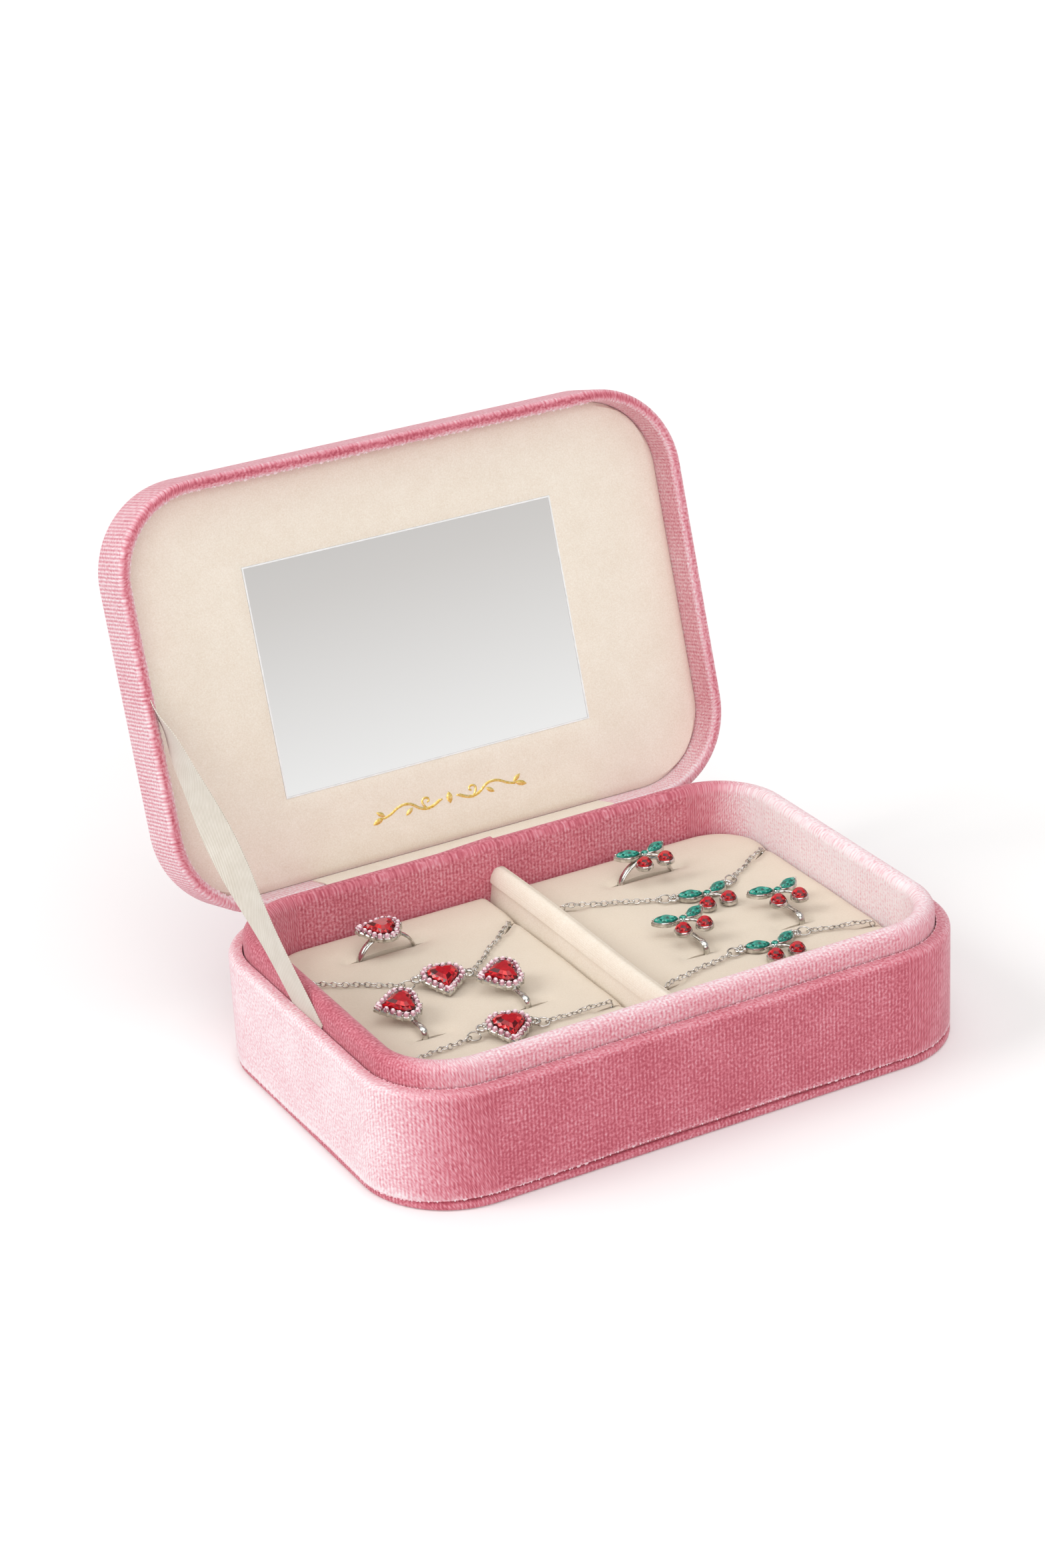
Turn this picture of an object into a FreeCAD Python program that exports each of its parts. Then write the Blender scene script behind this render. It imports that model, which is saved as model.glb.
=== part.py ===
"""A velvet jewelry box with a hinged mirror lid, two slit pads and the jewelry that stands in them.

Millimetres. The origin is at the middle of the underside, +X to the right, +Y to the hinge at the
back and +Z up. Every piece is drawn with the lid shut; the lid's pieces are then turned open.
"""
import FreeCAD, Part
import math
import os
import Sketcher

doc = FreeCAD.newDocument("jewelry_box")
sheet = doc.addObject("Spreadsheet::Sheet", "sizes")

# Driving dimensions: name, size and what it measures
DIMENSIONS = [
    ("box_length", 170, "outside, left to right"),
    ("box_depth", 117, "outside, front to back"),
    ("corner_radius", 25, "outside corners in plan"),
    ("velvet", 0.7, "pile cloth that wraps the boards"),
    ("suede", 0.8, "cream cloth on pads, divider and lid panel"),
    ("base_thickness", 2.6, "wrapped plate under the box"),
    ("base_edge", 1.0, "rounding of the wrapped plate"),
    ("wall_top", 32, "height of the outer wall"),
    ("wall_thickness", 3.6, "outer wall with its velvet"),
    ("wall_edge", 1.6, "rounding along the top of the outer wall"),
    ("crease_edge", 0.5, "rounding at the foot of the outer wall"),
    ("collar_gap", 0.4, "slot between outer wall and collar, which takes the ribbon"),
    ("collar_thickness", 5.6, "collar with its velvet"),
    ("collar_top", 38, "height of the collar"),
    ("lip_flat", 0.2, "flat left between the two roundings of the collar"),
    ("pad_top", 24.5, "height of the pads"),
    ("pad_edge", 3.2, "soft rounding round the top of a pad"),
    ("pad_gap", 0.3, "room between a pad and its neighbours"),
    ("divider_thickness", 8, "divider with its cloth"),
    ("divider_top", 30.5, "height of the divider"),
    ("lid_height", 18, "lid, rim to top"),
    ("lid_gap", 0.3, "room between the lid's rim and the wall when shut"),
    ("lid_thickness", 3.2, "lid wall with velvet on both faces"),
    ("lid_board", 2.2, "top board of the lid"),
    ("lid_edge", 2.4, "rounding along the top of the lid"),
    ("rim_edge", 1.4, "rounding of the lid's rim"),
    ("panel_depth", 8.7, "from the lid's rim down to the cream panel"),
    ("panel_gap", 1.0, "room round the cream panel, which takes the ribbon"),
    ("panel_card", 2.0, "card behind the panel's cloth"),
    ("panel_edge", 1.8, "soft rounding round the panel"),
    ("mirror_length", 94.4, "mirror seen in the panel's window"),
    ("mirror_height", 63.8, "mirror seen in the panel's window"),
    ("mirror_lap", 1.0, "mirror held behind the window's edge"),
    ("mirror_glass", 1.8, "thickness of the mirror"),
    ("mirror_room", 0.3, "room round the mirror in the card"),
    ("lid_open_angle", 106, "opening of the lid, held by the ribbon"),
    ("hinge_back", 1.0, "hinge axis behind the back wall"),
    ("hinge_drop", 3.0, "hinge axis below the top of the wall"),
    ("strip_width", 89.5, "cream hinge strip, left to right"),
    ("strip_thickness", 0.3, "cream hinge strip"),
    ("strip_tuck", 6, "hinge strip hidden behind the collar"),
    ("cloth_width", 112, "velvet hinge band on the back, left to right"),
    ("cloth_thickness", 0.6, "velvet hinge band"),
    ("cloth_bend", 2.8, "bend of the velvet band when the lid stands open"),
    ("cloth_lap", 5, "velvet band glued to each half"),
    ("ribbon_width", 10, "satin ribbon that holds the lid"),
    ("ribbon_thickness", 0.24, "satin ribbon that holds the lid"),
    ("ribbon_front", 1, "ribbon's lower end in front of the middle of the box"),
    ("ribbon_lid", 9, "ribbon's upper end in front of the middle of the lid"),
    ("ribbon_tuck", 6, "ribbon hidden in the slot at its lower end"),
    ("slit_room", 0.3, "room each side of what stands in a slit"),
    ("slit_reach", 1.5, "room below what stands in a slit"),
    ("ring_slit_length", 20, "slit for a finger ring"),
    ("ring_shift", -2.5, "finger ring from the middle of its pad, along X"),
    ("ring_back", 33.8, "finger ring behind the middle of the box"),
    ("ring_radius", 9.1, "finger ring, outside"),
    ("ring_thickness", 1.0, "finger ring band"),
    ("ring_width", 1.8, "finger ring band along the finger"),
    ("ring_rise", 5.4, "top of the finger ring above its pad"),
    ("earring_slit_length", 9, "slit for an ear clip"),
    ("left_earring_shift", -14.5, "left ear clip from the middle of its pad, along X"),
    ("right_earring_shift", 15.0, "right ear clip from the middle of its pad, along X"),
    ("earring_front", 14, "ear clip slit in front of the middle of the box"),
    ("clip_reach", 11.5, "ear clip from its slit back to its head"),
    ("clip_rise", 1.6, "ear clip wire above its pad"),
    ("clip_depth", 5, "ear clip leg below the top of its pad"),
    ("clip_wire", 1.1, "ear clip wire"),
    ("clip_bend", 2.2, "ear clip bend at the slit"),
    ("clip_post", 0.9, "radius of the post between clip and head"),
    ("head_rise", 3.2, "head of an ear clip above its pad"),
    ("head_sink", 0.5, "ring or post let into its head"),
    ("heart_lobe", 2.3, "radius of a heart stone's lobes"),
    ("heart_spread", 1.7, "lobe centres from the middle of a heart stone"),
    ("heart_slope", 41, "half angle at the point of a heart stone, in degrees"),
    ("stone_height", 2.4, "heart stone above its plate"),
    ("heart_bevel", 0.4, "crown bevel of a heart stone"),
    ("heart_rim", 1.9, "silver plate round a heart stone"),
    ("plate_height", 1.2, "silver plate under the stones"),
    ("crystal_line", 1.1, "row of crystals outside a heart stone"),
    ("crystal_radius", 0.68, "crystal in the row"),
    ("crystal_height", 1.3, "crystal in the row"),
    ("crystal_count", 18, "crystals round a heart"),
    ("eyelet_radius", 1.6, "eyelet beside a pendant, outside"),
    ("eyelet_hole", 0.8, "hole of an eyelet"),
    ("eyelet_sink", 0.5, "eyelet let into its plate"),
    ("pendant_lift", 0.25, "room between a lying pendant or chain and its pad"),
    ("pendant_tilt", 10, "lean of a lying heart towards the front, in degrees"),
    ("earring_tilt", 12, "lean of an ear clip's heart towards the front, in degrees"),
    ("heart_ring_turn", -120, "point of the ring's heart from the front, in degrees"),
    ("heart_earring_turn", -100, "point of an ear clip's heart from the front, in degrees"),
    ("heart_pendant_turn", -14, "point of a lying heart from the front, in degrees"),
    ("heart_clip_shift", -1.5, "heart ear clip along its slit"),
    ("cherry_clip_shift", 2, "cherry ear clip along its slit"),
    ("heart_necklace_shift", 0.8, "heart pendant from the middle of its pad, along X"),
    ("heart_necklace_back", 8.2, "heart pendant behind the middle of the box"),
    ("heart_bracelet_shift", 2.4, "heart on the bracelet from the middle of its pad, along X"),
    ("heart_bracelet_back", -24, "heart on the bracelet behind the middle of the box"),
    ("cherry_necklace_shift", 3.6, "cherry pendant from the middle of its pad, along X"),
    ("cherry_necklace_back", 11.6, "cherry pendant behind the middle of the box"),
    ("cherry_bracelet_shift", 2.6, "cherries on the bracelet from the middle of its pad, along X"),
    ("cherry_bracelet_back", -23.5, "cherries on the bracelet behind the middle of the box"),
    ("leaf_length", 6.4, "leaf stone"),
    ("leaf_width", 3.0, "leaf stone"),
    ("leaf_height", 1.5, "leaf stone above its plate"),
    ("leaf_bevel", 0.7, "crown bevel of a leaf stone"),
    ("leaf_out", 4.3, "leaf centre from the knot of the stems, along X"),
    ("leaf_up", 1.7, "leaf centre behind the knot of the stems"),
    ("leaf_turn", 22, "leaf against the X axis, in degrees"),
    ("setting_rim", 0.4, "silver round a leaf or a cherry"),
    ("cherry_radius", 2.1, "cherry stone"),
    ("cherry_height", 2.0, "cherry stone above its cup"),
    ("cherry_crown", 1.2, "rounding of a cherry stone"),
    ("cherry_out", 3.3, "cherry centre from the knot of the stems, along X"),
    ("cherry_down", 5.5, "cherry centre in front of the knot of the stems"),
    ("stem_width", 1.1, "stem from the knot to a cherry"),
    ("knot_radius", 1.3, "knot where stems and leaves meet"),
    ("chain_radius", 0.8, "chain, over its links"),
    ("chain_bend", 1.7, "chain where it turns down into its slit"),
    ("chain_depth", 4, "chain end below the top of the pad"),
    ("chain_end", 3.6, "chain end from the edge of the pad"),
    ("chain_slit_length", 8.5, "slit at the edge of a pad for a chain"),
    ("chain_sink", 0.9, "chain's last link inside its eyelet"),
    ("necklace_slit_back", 28.5, "necklace slits behind the middle of the box"),
    ("bracelet_slit_front", 25.5, "bracelet slits in front of the middle of the box"),
]
for row, (alias, value, meaning) in enumerate(DIMENSIONS, start=1):
    sheet.set(f"A{row}", meaning)
    sheet.set(f"B{row}", str(value))
    sheet.setAlias(f"B{row}", alias)
doc.recompute()

# Sizes that follow from the driving ones, as expressions
COLLAR_OUT = "(sizes.wall_thickness + sizes.collar_gap)"
COLLAR_IN = f"({COLLAR_OUT} + sizes.collar_thickness)"
PAD_INSET = f"({COLLAR_IN} + sizes.pad_gap)"
PAD_INNER = "(sizes.divider_thickness / 2 + sizes.pad_gap)"
PAD_OUTER = f"(sizes.box_length / 2 - {PAD_INSET})"
PAD_MIDDLE = f"(({PAD_OUTER} + {PAD_INNER}) / 2)"
PAD_BACK = f"(sizes.box_depth / 2 - {PAD_INSET})"
RIM = "(sizes.wall_top + sizes.lid_gap)"
LID_TOP = f"({RIM} + sizes.lid_height)"
BOARD_LOW = f"({LID_TOP} - sizes.velvet - sizes.lid_board)"
PANEL = f"({RIM} + sizes.panel_depth)"
PANEL_INSET = "(sizes.lid_thickness + sizes.panel_gap)"
CARD_BACK = f"({PANEL} + sizes.suede + sizes.panel_card)"
HINGE_Y = "(sizes.box_depth / 2 + sizes.hinge_back)"
HINGE_Z = "(sizes.wall_top - sizes.hinge_drop)"
OPEN = "(sizes.lid_open_angle * 1 deg)"
DIVIDER_SPRING = "(sizes.divider_top - sizes.divider_thickness / 2)"
SIDES = {"left": -1, "right": 1}
THEMES = {"left": "heart", "right": "cherry"}

pieces = []


def number(expression):
    """Value of an expression of the sheet's sizes, in millimetres or degrees."""
    result = sheet.evalExpression(str(expression))
    return float(getattr(result, "Value", result))


def vector(x=0, y=0, z=0):
    return FreeCAD.Vector(number(x), number(y), number(z))


def new_body(label):
    """A sub-part: one body whose label names it."""
    piece = doc.addObject("PartDesign::Body", label)
    piece.Label = label
    piece.AllowCompound = True
    pieces.append(piece)
    return piece


def new_sketch(piece, name, height="0", plane="XY_Plane", pose=None):
    """An empty sketch on one of the body's own planes, raised by height or set in a pose."""
    drawing = piece.newObject("Sketcher::SketchObject", f"{piece.Name}_{name}")
    origin_plane = next(item for item in piece.Origin.OriginFeatures if item.Role == plane)
    drawing.AttachmentSupport = [(origin_plane, "")]
    drawing.MapMode = "FlatFace"
    if pose is None:
        drawing.setExpression("AttachmentOffset.Base.z", height)
    else:
        drawing.AttachmentOffset = pose.multiply(FreeCAD.Placement(vector(z=height), FreeCAD.Rotation()))
    return drawing


def dimension(drawing, kind, *where, size):
    """A driving dimension of a sketch, bound to the sheet."""
    index = drawing.addConstraint(Sketcher.Constraint(kind, *where, number(size)))
    drawing.setExpression(f"Constraints[{index}]", size)


def constrain(drawing, *rows):
    for row in rows:
        drawing.addConstraint(Sketcher.Constraint(*row))


def rounded_outline(drawing, inset):
    """The plan of the box, drawn in by inset: four sides joined by four tangent arcs."""
    length = f"sizes.box_length - 2 * {inset}"
    depth = f"sizes.box_depth - 2 * {inset}"
    radius = f"sizes.corner_radius - {inset}"
    x, y, r = number(length) / 2, number(depth) / 2, number(radius)
    corners = [(x - r, y - r), (r - x, y - r), (r - x, r - y), (x - r, r - y)]
    first = drawing.GeometryCount
    for turn, (cx, cy) in enumerate(corners):
        circle = Part.Circle(FreeCAD.Vector(cx, cy, 0), FreeCAD.Vector(0, 0, 1), r)
        drawing.addGeometry(Part.ArcOfCircle(circle, turn * math.pi / 2, (turn + 1) * math.pi / 2))
    for turn in range(4):
        a = drawing.Geometry[first + turn].EndPoint
        b = drawing.Geometry[first + (turn + 1) % 4].StartPoint
        drawing.addGeometry(Part.LineSegment(a, b))
    for turn in range(4):
        arc, side, following = first + turn, first + 4 + turn, first + (turn + 1) % 4
        constrain(drawing, ("Tangent", side, 1, arc, 2), ("Tangent", side, 2, following, 1))
        constrain(drawing, ("Vertical" if turn % 2 else "Horizontal", side))
        if turn:
            constrain(drawing, ("Equal", first, arc))
    constrain(drawing, ("Symmetric", first, 3, first + 2, 3, -1, 1))
    dimension(drawing, "Radius", first, size=radius)
    dimension(drawing, "DistanceX", first + 1, 2, first, 1, size=length)
    dimension(drawing, "DistanceY", first + 2, 2, first + 1, 1, size=depth)


def rectangle(drawing, length, depth, x="0", y="0"):
    """A rectangle about the point x, y of its sketch."""
    half_x, half_y, cx, cy = number(length) / 2, number(depth) / 2, number(x), number(y)
    signs = [(-1, -1), (1, -1), (1, 1), (-1, 1)]
    points = [FreeCAD.Vector(cx + i * half_x, cy + j * half_y, 0) for i, j in signs]
    for turn in range(4):
        drawing.addGeometry(Part.LineSegment(points[turn], points[(turn + 1) % 4]))
    for turn in range(4):
        constrain(drawing, ("Coincident", turn, 2, (turn + 1) % 4, 1))
        constrain(drawing, ("Vertical" if turn % 2 else "Horizontal", turn))
    dimension(drawing, "DistanceX", 0, 1, 0, 2, size=length)
    dimension(drawing, "DistanceY", 1, 1, 1, 2, size=depth)
    dimension(drawing, "DistanceX", -1, 1, 0, 1, size=f"{x} - ({length}) / 2")
    dimension(drawing, "DistanceY", -1, 1, 0, 1, size=f"{y} - ({depth}) / 2")


def circles(drawing, *radii, x="0", y="0"):
    """Concentric circles about a point of their sketch."""
    for radius in radii:
        centre = FreeCAD.Vector(number(x), number(y), 0)
        index = drawing.addGeometry(Part.Circle(centre, FreeCAD.Vector(0, 0, 1), number(radius)))
        dimension(drawing, "Radius", index, size=radius)
        dimension(drawing, "DistanceX", -1, 1, index, 3, size=x)
        dimension(drawing, "DistanceY", -1, 1, index, 3, size=y)


def heart_outline(drawing, grow):
    """Two lobes and two tangent sides, set out from the stone's outline by grow."""
    radius = f"sizes.heart_lobe + {grow}"
    r, c = number(radius), number("sizes.heart_spread")
    slope = math.radians(number("sizes.heart_slope"))
    axis = FreeCAD.Vector(0, 0, 1)
    notch = math.acos(-c / r)
    touch = FreeCAD.Vector(c + r * math.cos(slope), -r * math.sin(slope), 0)
    tip = FreeCAD.Vector(0, touch.y - touch.x / math.tan(slope), 0)
    mirrored = FreeCAD.Vector(-touch.x, touch.y, 0)
    drawing.addGeometry(Part.ArcOfCircle(Part.Circle(FreeCAD.Vector(c, 0, 0), axis, r), -slope, notch))
    left = Part.Circle(FreeCAD.Vector(-c, 0, 0), axis, r)
    drawing.addGeometry(Part.ArcOfCircle(left, math.pi - notch, math.pi + slope))
    drawing.addGeometry(Part.LineSegment(tip, touch))
    drawing.addGeometry(Part.LineSegment(mirrored, tip))
    constrain(
        drawing,
        ("Tangent", 2, 2, 0, 1),
        ("Tangent", 3, 1, 1, 2),
        ("Coincident", 0, 2, 1, 1),
        ("Coincident", 3, 2, 2, 1),
        ("PointOnObject", 0, 2, -2),
        ("PointOnObject", 2, 1, -2),
        ("PointOnObject", 0, 3, -1),
        ("PointOnObject", 1, 3, -1),
        ("Equal", 0, 1),
    )
    dimension(drawing, "Radius", 0, size=radius)
    dimension(drawing, "DistanceX", -1, 1, 0, 3, size="sizes.heart_spread")
    index = drawing.addConstraint(Sketcher.Constraint("Angle", 2, math.pi / 2 - slope))
    drawing.setExpression(f"Constraints[{index}]", "(90 - sizes.heart_slope) * 1 deg")


def leaf_outline(drawing, grow):
    """A pointed oval: two equal arcs that meet on the leaf's middle line."""
    half = f"(sizes.leaf_length / 2 + {grow})"
    rise = f"(sizes.leaf_width / 2 + {grow})"
    radius = f"({half} * {half} + {rise} * {rise}) / (2 * {rise})"
    a, b = number(half), number(rise)
    low, high = FreeCAD.Vector(-a, 0, 0), FreeCAD.Vector(a, 0, 0)
    drawing.addGeometry(Part.Arc(high, FreeCAD.Vector(0, b, 0), low))
    drawing.addGeometry(Part.Arc(low, FreeCAD.Vector(0, -b, 0), high))
    constrain(
        drawing,
        ("Coincident", 0, 2, 1, 1),
        ("Coincident", 1, 2, 0, 1),
        ("Symmetric", 0, 1, 0, 2, -1, 1),
        ("PointOnObject", 0, 1, -1),
        ("Equal", 0, 1),
    )
    dimension(drawing, "Radius", 0, size=radius)
    dimension(drawing, "DistanceX", 0, 2, 0, 1, size=f"2 * {half}")


def pad(piece, drawing, length, both_ways=False):
    """Material from a sketch, along its normal or half of it each way."""
    feature = piece.newObject("PartDesign::Pad", f"{drawing.Name}_pad")
    feature.Profile = drawing
    feature.setExpression("Length", length)
    feature.SideType = "Symmetric" if both_ways else "One side"
    doc.recompute()


def pocket(piece, drawing, length, upward=True, both_ways=False):
    """A cut from a sketch; upward cuts run along the sketch's normal. It has to take something away."""
    before = piece.Shape.Volume
    feature = piece.newObject("PartDesign::Pocket", f"{drawing.Name}_pocket")
    feature.Profile = drawing
    feature.setExpression("Length", length)
    feature.Reversed = upward
    feature.SideType = "Symmetric" if both_ways else "One side"
    doc.recompute()
    if not piece.Shape.Volume < before:
        raise RuntimeError(f"{feature.Name} cuts nothing")


def edges_at(piece, height, inset=None):
    """Names of the level edges at a height; with inset, only those on that outline of the box."""
    level = number(height)
    names = []
    for index, edge in enumerate(piece.Tip.Shape.Edges, start=1):
        box = edge.BoundBox
        if abs(box.ZMin - level) > 1e-4 or abs(box.ZMax - level) > 1e-4:
            continue
        if inset is None or on_outline(edge, number(inset)):
            names.append(f"Edge{index}")
    return names


def on_outline(edge, inset):
    """Whether an edge lies on the plan of the box drawn in by inset."""
    point = edge.valueAt((edge.FirstParameter + edge.LastParameter) / 2)
    radius = number("sizes.corner_radius") - inset
    across = abs(point.x) - (number("sizes.box_length") / 2 - inset - radius)
    along = abs(point.y) - (number("sizes.box_depth") / 2 - inset - radius)
    if across > 0 and along > 0:
        return abs(math.hypot(across, along) - radius) < 1e-3
    return abs(max(across, along) - radius) < 1e-3


def dress(piece, kind, size, names):
    """A fillet or chamfer on named edges of the body's last feature."""
    last = piece.Tip
    feature = piece.newObject(f"PartDesign::{kind}", f"{piece.Name}_{kind.lower()}")
    feature.Base = (last, names)
    feature.setExpression("Radius" if kind == "Fillet" else "Size", size)
    doc.recompute()


def plate(label, inset, low, high):
    """A flat piece with the plan of the box, drawn in by inset, between two heights."""
    piece = new_body(label)
    drawing = new_sketch(piece, "plan", low)
    rounded_outline(drawing, inset)
    pad(piece, drawing, f"{high} - {low}")
    return piece


def ring(label, outer, inner, low, high):
    """A wall with the plan of the box, between two insets and two heights."""
    piece = new_body(label)
    drawing = new_sketch(piece, "plan", low)
    rounded_outline(drawing, outer)
    rounded_outline(drawing, inner)
    pad(piece, drawing, f"{high} - {low}")
    return piece


def cut_ring(piece, name, outer, inner, low, high):
    """Room for a wall inside a wrapped piece."""
    drawing = new_sketch(piece, name, low)
    rounded_outline(drawing, outer)
    rounded_outline(drawing, inner)
    pocket(piece, drawing, f"{high} - {low}")


def cut_plate(piece, name, inset, low, high):
    """Room for a flat piece inside a wrapped one."""
    drawing = new_sketch(piece, name, low)
    rounded_outline(drawing, inset)
    pocket(piece, drawing, f"{high} - {low}")


def base_plate():
    """The bottom board and the velvet folded up round it."""
    plate("base_board", "sizes.velvet", "sizes.velvet", "sizes.base_thickness")
    cover = plate("base_board_cover", "0", "0", "sizes.base_thickness")
    dress(cover, "Fillet", "sizes.base_edge", edges_at(cover, "sizes.base_thickness") + edges_at(cover, "0"))
    cut_plate(cover, "board", "sizes.velvet", "sizes.velvet", "sizes.base_thickness")


def outer_wall():
    """The low outer wall and the velvet that goes up its face and over its top."""
    low, high = "sizes.base_thickness", "sizes.wall_top"
    ring("outer_wall", "sizes.velvet", "sizes.wall_thickness", low, f"({high} - sizes.velvet)")
    cover = ring("outer_wall_cover", "0", "sizes.wall_thickness", low, high)
    dress(cover, "Fillet", "sizes.wall_edge", edges_at(cover, high, "0"))
    dress(cover, "Fillet", "sizes.crease_edge", edges_at(cover, low, "0"))
    cut_ring(cover, "board", "sizes.velvet", "sizes.wall_thickness", low, f"({high} - sizes.velvet)")


def collar():
    """The tall inner collar that the lid shuts over, with velvet over its rounded lip."""
    low, high = "sizes.base_thickness", "sizes.collar_top"
    outer, inner = f"({COLLAR_OUT} + sizes.velvet)", f"({COLLAR_IN} - sizes.velvet)"
    top = f"({high} - sizes.velvet)"
    lip = "(sizes.collar_thickness - sizes.lip_flat) / 2"
    core = ring("collar", outer, inner, low, top)
    dress(core, "Fillet", f"{lip} - sizes.velvet", edges_at(core, top))
    cover = ring("collar_cover", COLLAR_OUT, COLLAR_IN, low, high)
    cut_ring(cover, "board", outer, inner, low, top)
    dress(cover, "Fillet", f"{lip} - sizes.velvet", edges_at(cover, top))
    dress(cover, "Fillet", lip, edges_at(cover, high))


def arch_outline(drawing, inset):
    """End of the divider: straight sides under a half-round top, drawn in by inset."""
    radius = f"(sizes.divider_thickness / 2 - {inset})"
    r, low, spring = number(radius), number("sizes.base_thickness"), number(DIVIDER_SPRING)
    circle = Part.Circle(FreeCAD.Vector(0, spring, 0), FreeCAD.Vector(0, 0, 1), r)
    corners = [(r, spring), (r, low), (-r, low), (-r, spring)]
    points = [FreeCAD.Vector(x, y, 0) for x, y in corners]
    drawing.addGeometry(Part.ArcOfCircle(circle, 0, math.pi))
    for a, b in zip(points[:-1], points[1:]):
        drawing.addGeometry(Part.LineSegment(b, a))
    constrain(
        drawing,
        ("Tangent", 0, 1, 1, 2),
        ("Tangent", 0, 2, 3, 1),
        ("Coincident", 1, 1, 2, 2),
        ("Coincident", 2, 1, 3, 2),
        ("Vertical", 1),
        ("Horizontal", 2),
        ("PointOnObject", 0, 3, -2),
    )
    dimension(drawing, "Radius", 0, size=radius)
    dimension(drawing, "DistanceY", -1, 1, 0, 3, size=DIVIDER_SPRING)
    dimension(drawing, "DistanceY", -1, 1, 1, 1, size="sizes.base_thickness")


def divider():
    """The round-topped divider between the pads, a core under a cloth, from collar to collar."""
    length = f"sizes.box_depth - 2 * {COLLAR_IN}"
    for label, inset in (("divider_core", "sizes.suede"), ("divider_cover", "0")):
        piece = new_body(label)
        drawing = new_sketch(piece, "end", plane="XZ_Plane")
        arch_outline(drawing, inset)
        pad(piece, drawing, length, both_ways=True)
    drawing = new_sketch(piece, "core", plane="XZ_Plane")
    arch_outline(drawing, "sizes.suede")
    pocket(piece, drawing, length, both_ways=True)


def pad_outline(drawing, sign, inset):
    """Plan of one pad: round corners at the collar, square ones at the divider, drawn in by inset."""
    outer, inner = f"({PAD_OUTER} - {inset})", f"({PAD_INNER} + {inset})"
    back = f"({PAD_BACK} - {inset})"
    radius = f"(sizes.corner_radius - {PAD_INSET} - {inset})"
    a, b, y, r = number(outer), number(inner), number(back), number(radius)
    bulge = r * math.sqrt(0.5)
    start = [(b, -y), (a - r, -y), (a - r + bulge, r - y - bulge), (a, r - y)]
    corners = start + [(x, -t) for x, t in reversed(start)]
    points = [FreeCAD.Vector(sign * x, t, 0) for x, t in corners]
    drawing.addGeometry(Part.LineSegment(points[0], points[1]))
    drawing.addGeometry(Part.Arc(points[1], points[2], points[3]))
    drawing.addGeometry(Part.LineSegment(points[3], points[4]))
    drawing.addGeometry(Part.Arc(points[4], points[5], points[6]))
    drawing.addGeometry(Part.LineSegment(points[6], points[7]))
    drawing.addGeometry(Part.LineSegment(points[7], points[0]))
    # An arc that runs clockwise keeps its ends in turning order, so they change places.
    first, last = (1, 2) if sign > 0 else (2, 1)
    constrain(
        drawing,
        ("Tangent", 0, 2, 1, first),
        ("Tangent", 2, 1, 1, last),
        ("Tangent", 2, 2, 3, first),
        ("Tangent", 4, 1, 3, last),
        ("Coincident", 4, 2, 5, 1),
        ("Coincident", 5, 2, 0, 1),
        ("Horizontal", 0),
        ("Vertical", 2),
        ("Horizontal", 4),
        ("Vertical", 5),
        ("Equal", 1, 3),
    )
    dimension(drawing, "Radius", 1, size=radius)
    dimension(drawing, "DistanceX", -1, 1, 2, 1, size=f"{sign} * {outer}")
    dimension(drawing, "DistanceX", -1, 1, 5, 1, size=f"{sign} * {inner}")
    dimension(drawing, "DistanceY", -1, 1, 4, 1, size=back)
    dimension(drawing, "DistanceY", 0, 1, -1, 1, size=back)


def pads():
    """Two foam pads in cream cloth, slit for the jewelry, soft round their top edges."""
    low, top = "sizes.base_thickness", "(sizes.pad_top - sizes.suede)"
    for side, sign in SIDES.items():
        foam = new_body(f"{side}_pad_foam")
        drawing = new_sketch(foam, "plan", low)
        pad_outline(drawing, sign, "sizes.suede")
        pad(foam, drawing, f"{top} - {low}")
        dress(foam, "Fillet", "sizes.pad_edge - sizes.suede", edges_at(foam, top))
        cover = new_body(f"{side}_pad_cover")
        drawing = new_sketch(cover, "plan", low)
        pad_outline(drawing, sign, "0")
        pad(cover, drawing, f"sizes.pad_top - {low}")
        drawing = new_sketch(cover, "foam", low)
        pad_outline(drawing, sign, "sizes.suede")
        pocket(cover, drawing, f"{top} - {low}")
        dress(cover, "Fillet", "sizes.pad_edge - sizes.suede", edges_at(cover, top))
        dress(cover, "Fillet", "sizes.pad_edge", edges_at(cover, "sizes.pad_top"))
        slits(foam, side)
        slits(cover, side)


def pad_middle(side):
    return f"({SIDES[side]} * {PAD_MIDDLE})"


def slit(piece, name, x, y, turn, length, width, depth):
    """A straight cut down into a pad from its top, about the point x, y."""
    pose = FreeCAD.Placement(vector(x, y), FreeCAD.Rotation(turn, 0, 0))
    drawing = new_sketch(piece, name, "sizes.pad_top", pose=pose)
    rectangle(drawing, length, width)
    pocket(piece, drawing, depth, upward=False)


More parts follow.
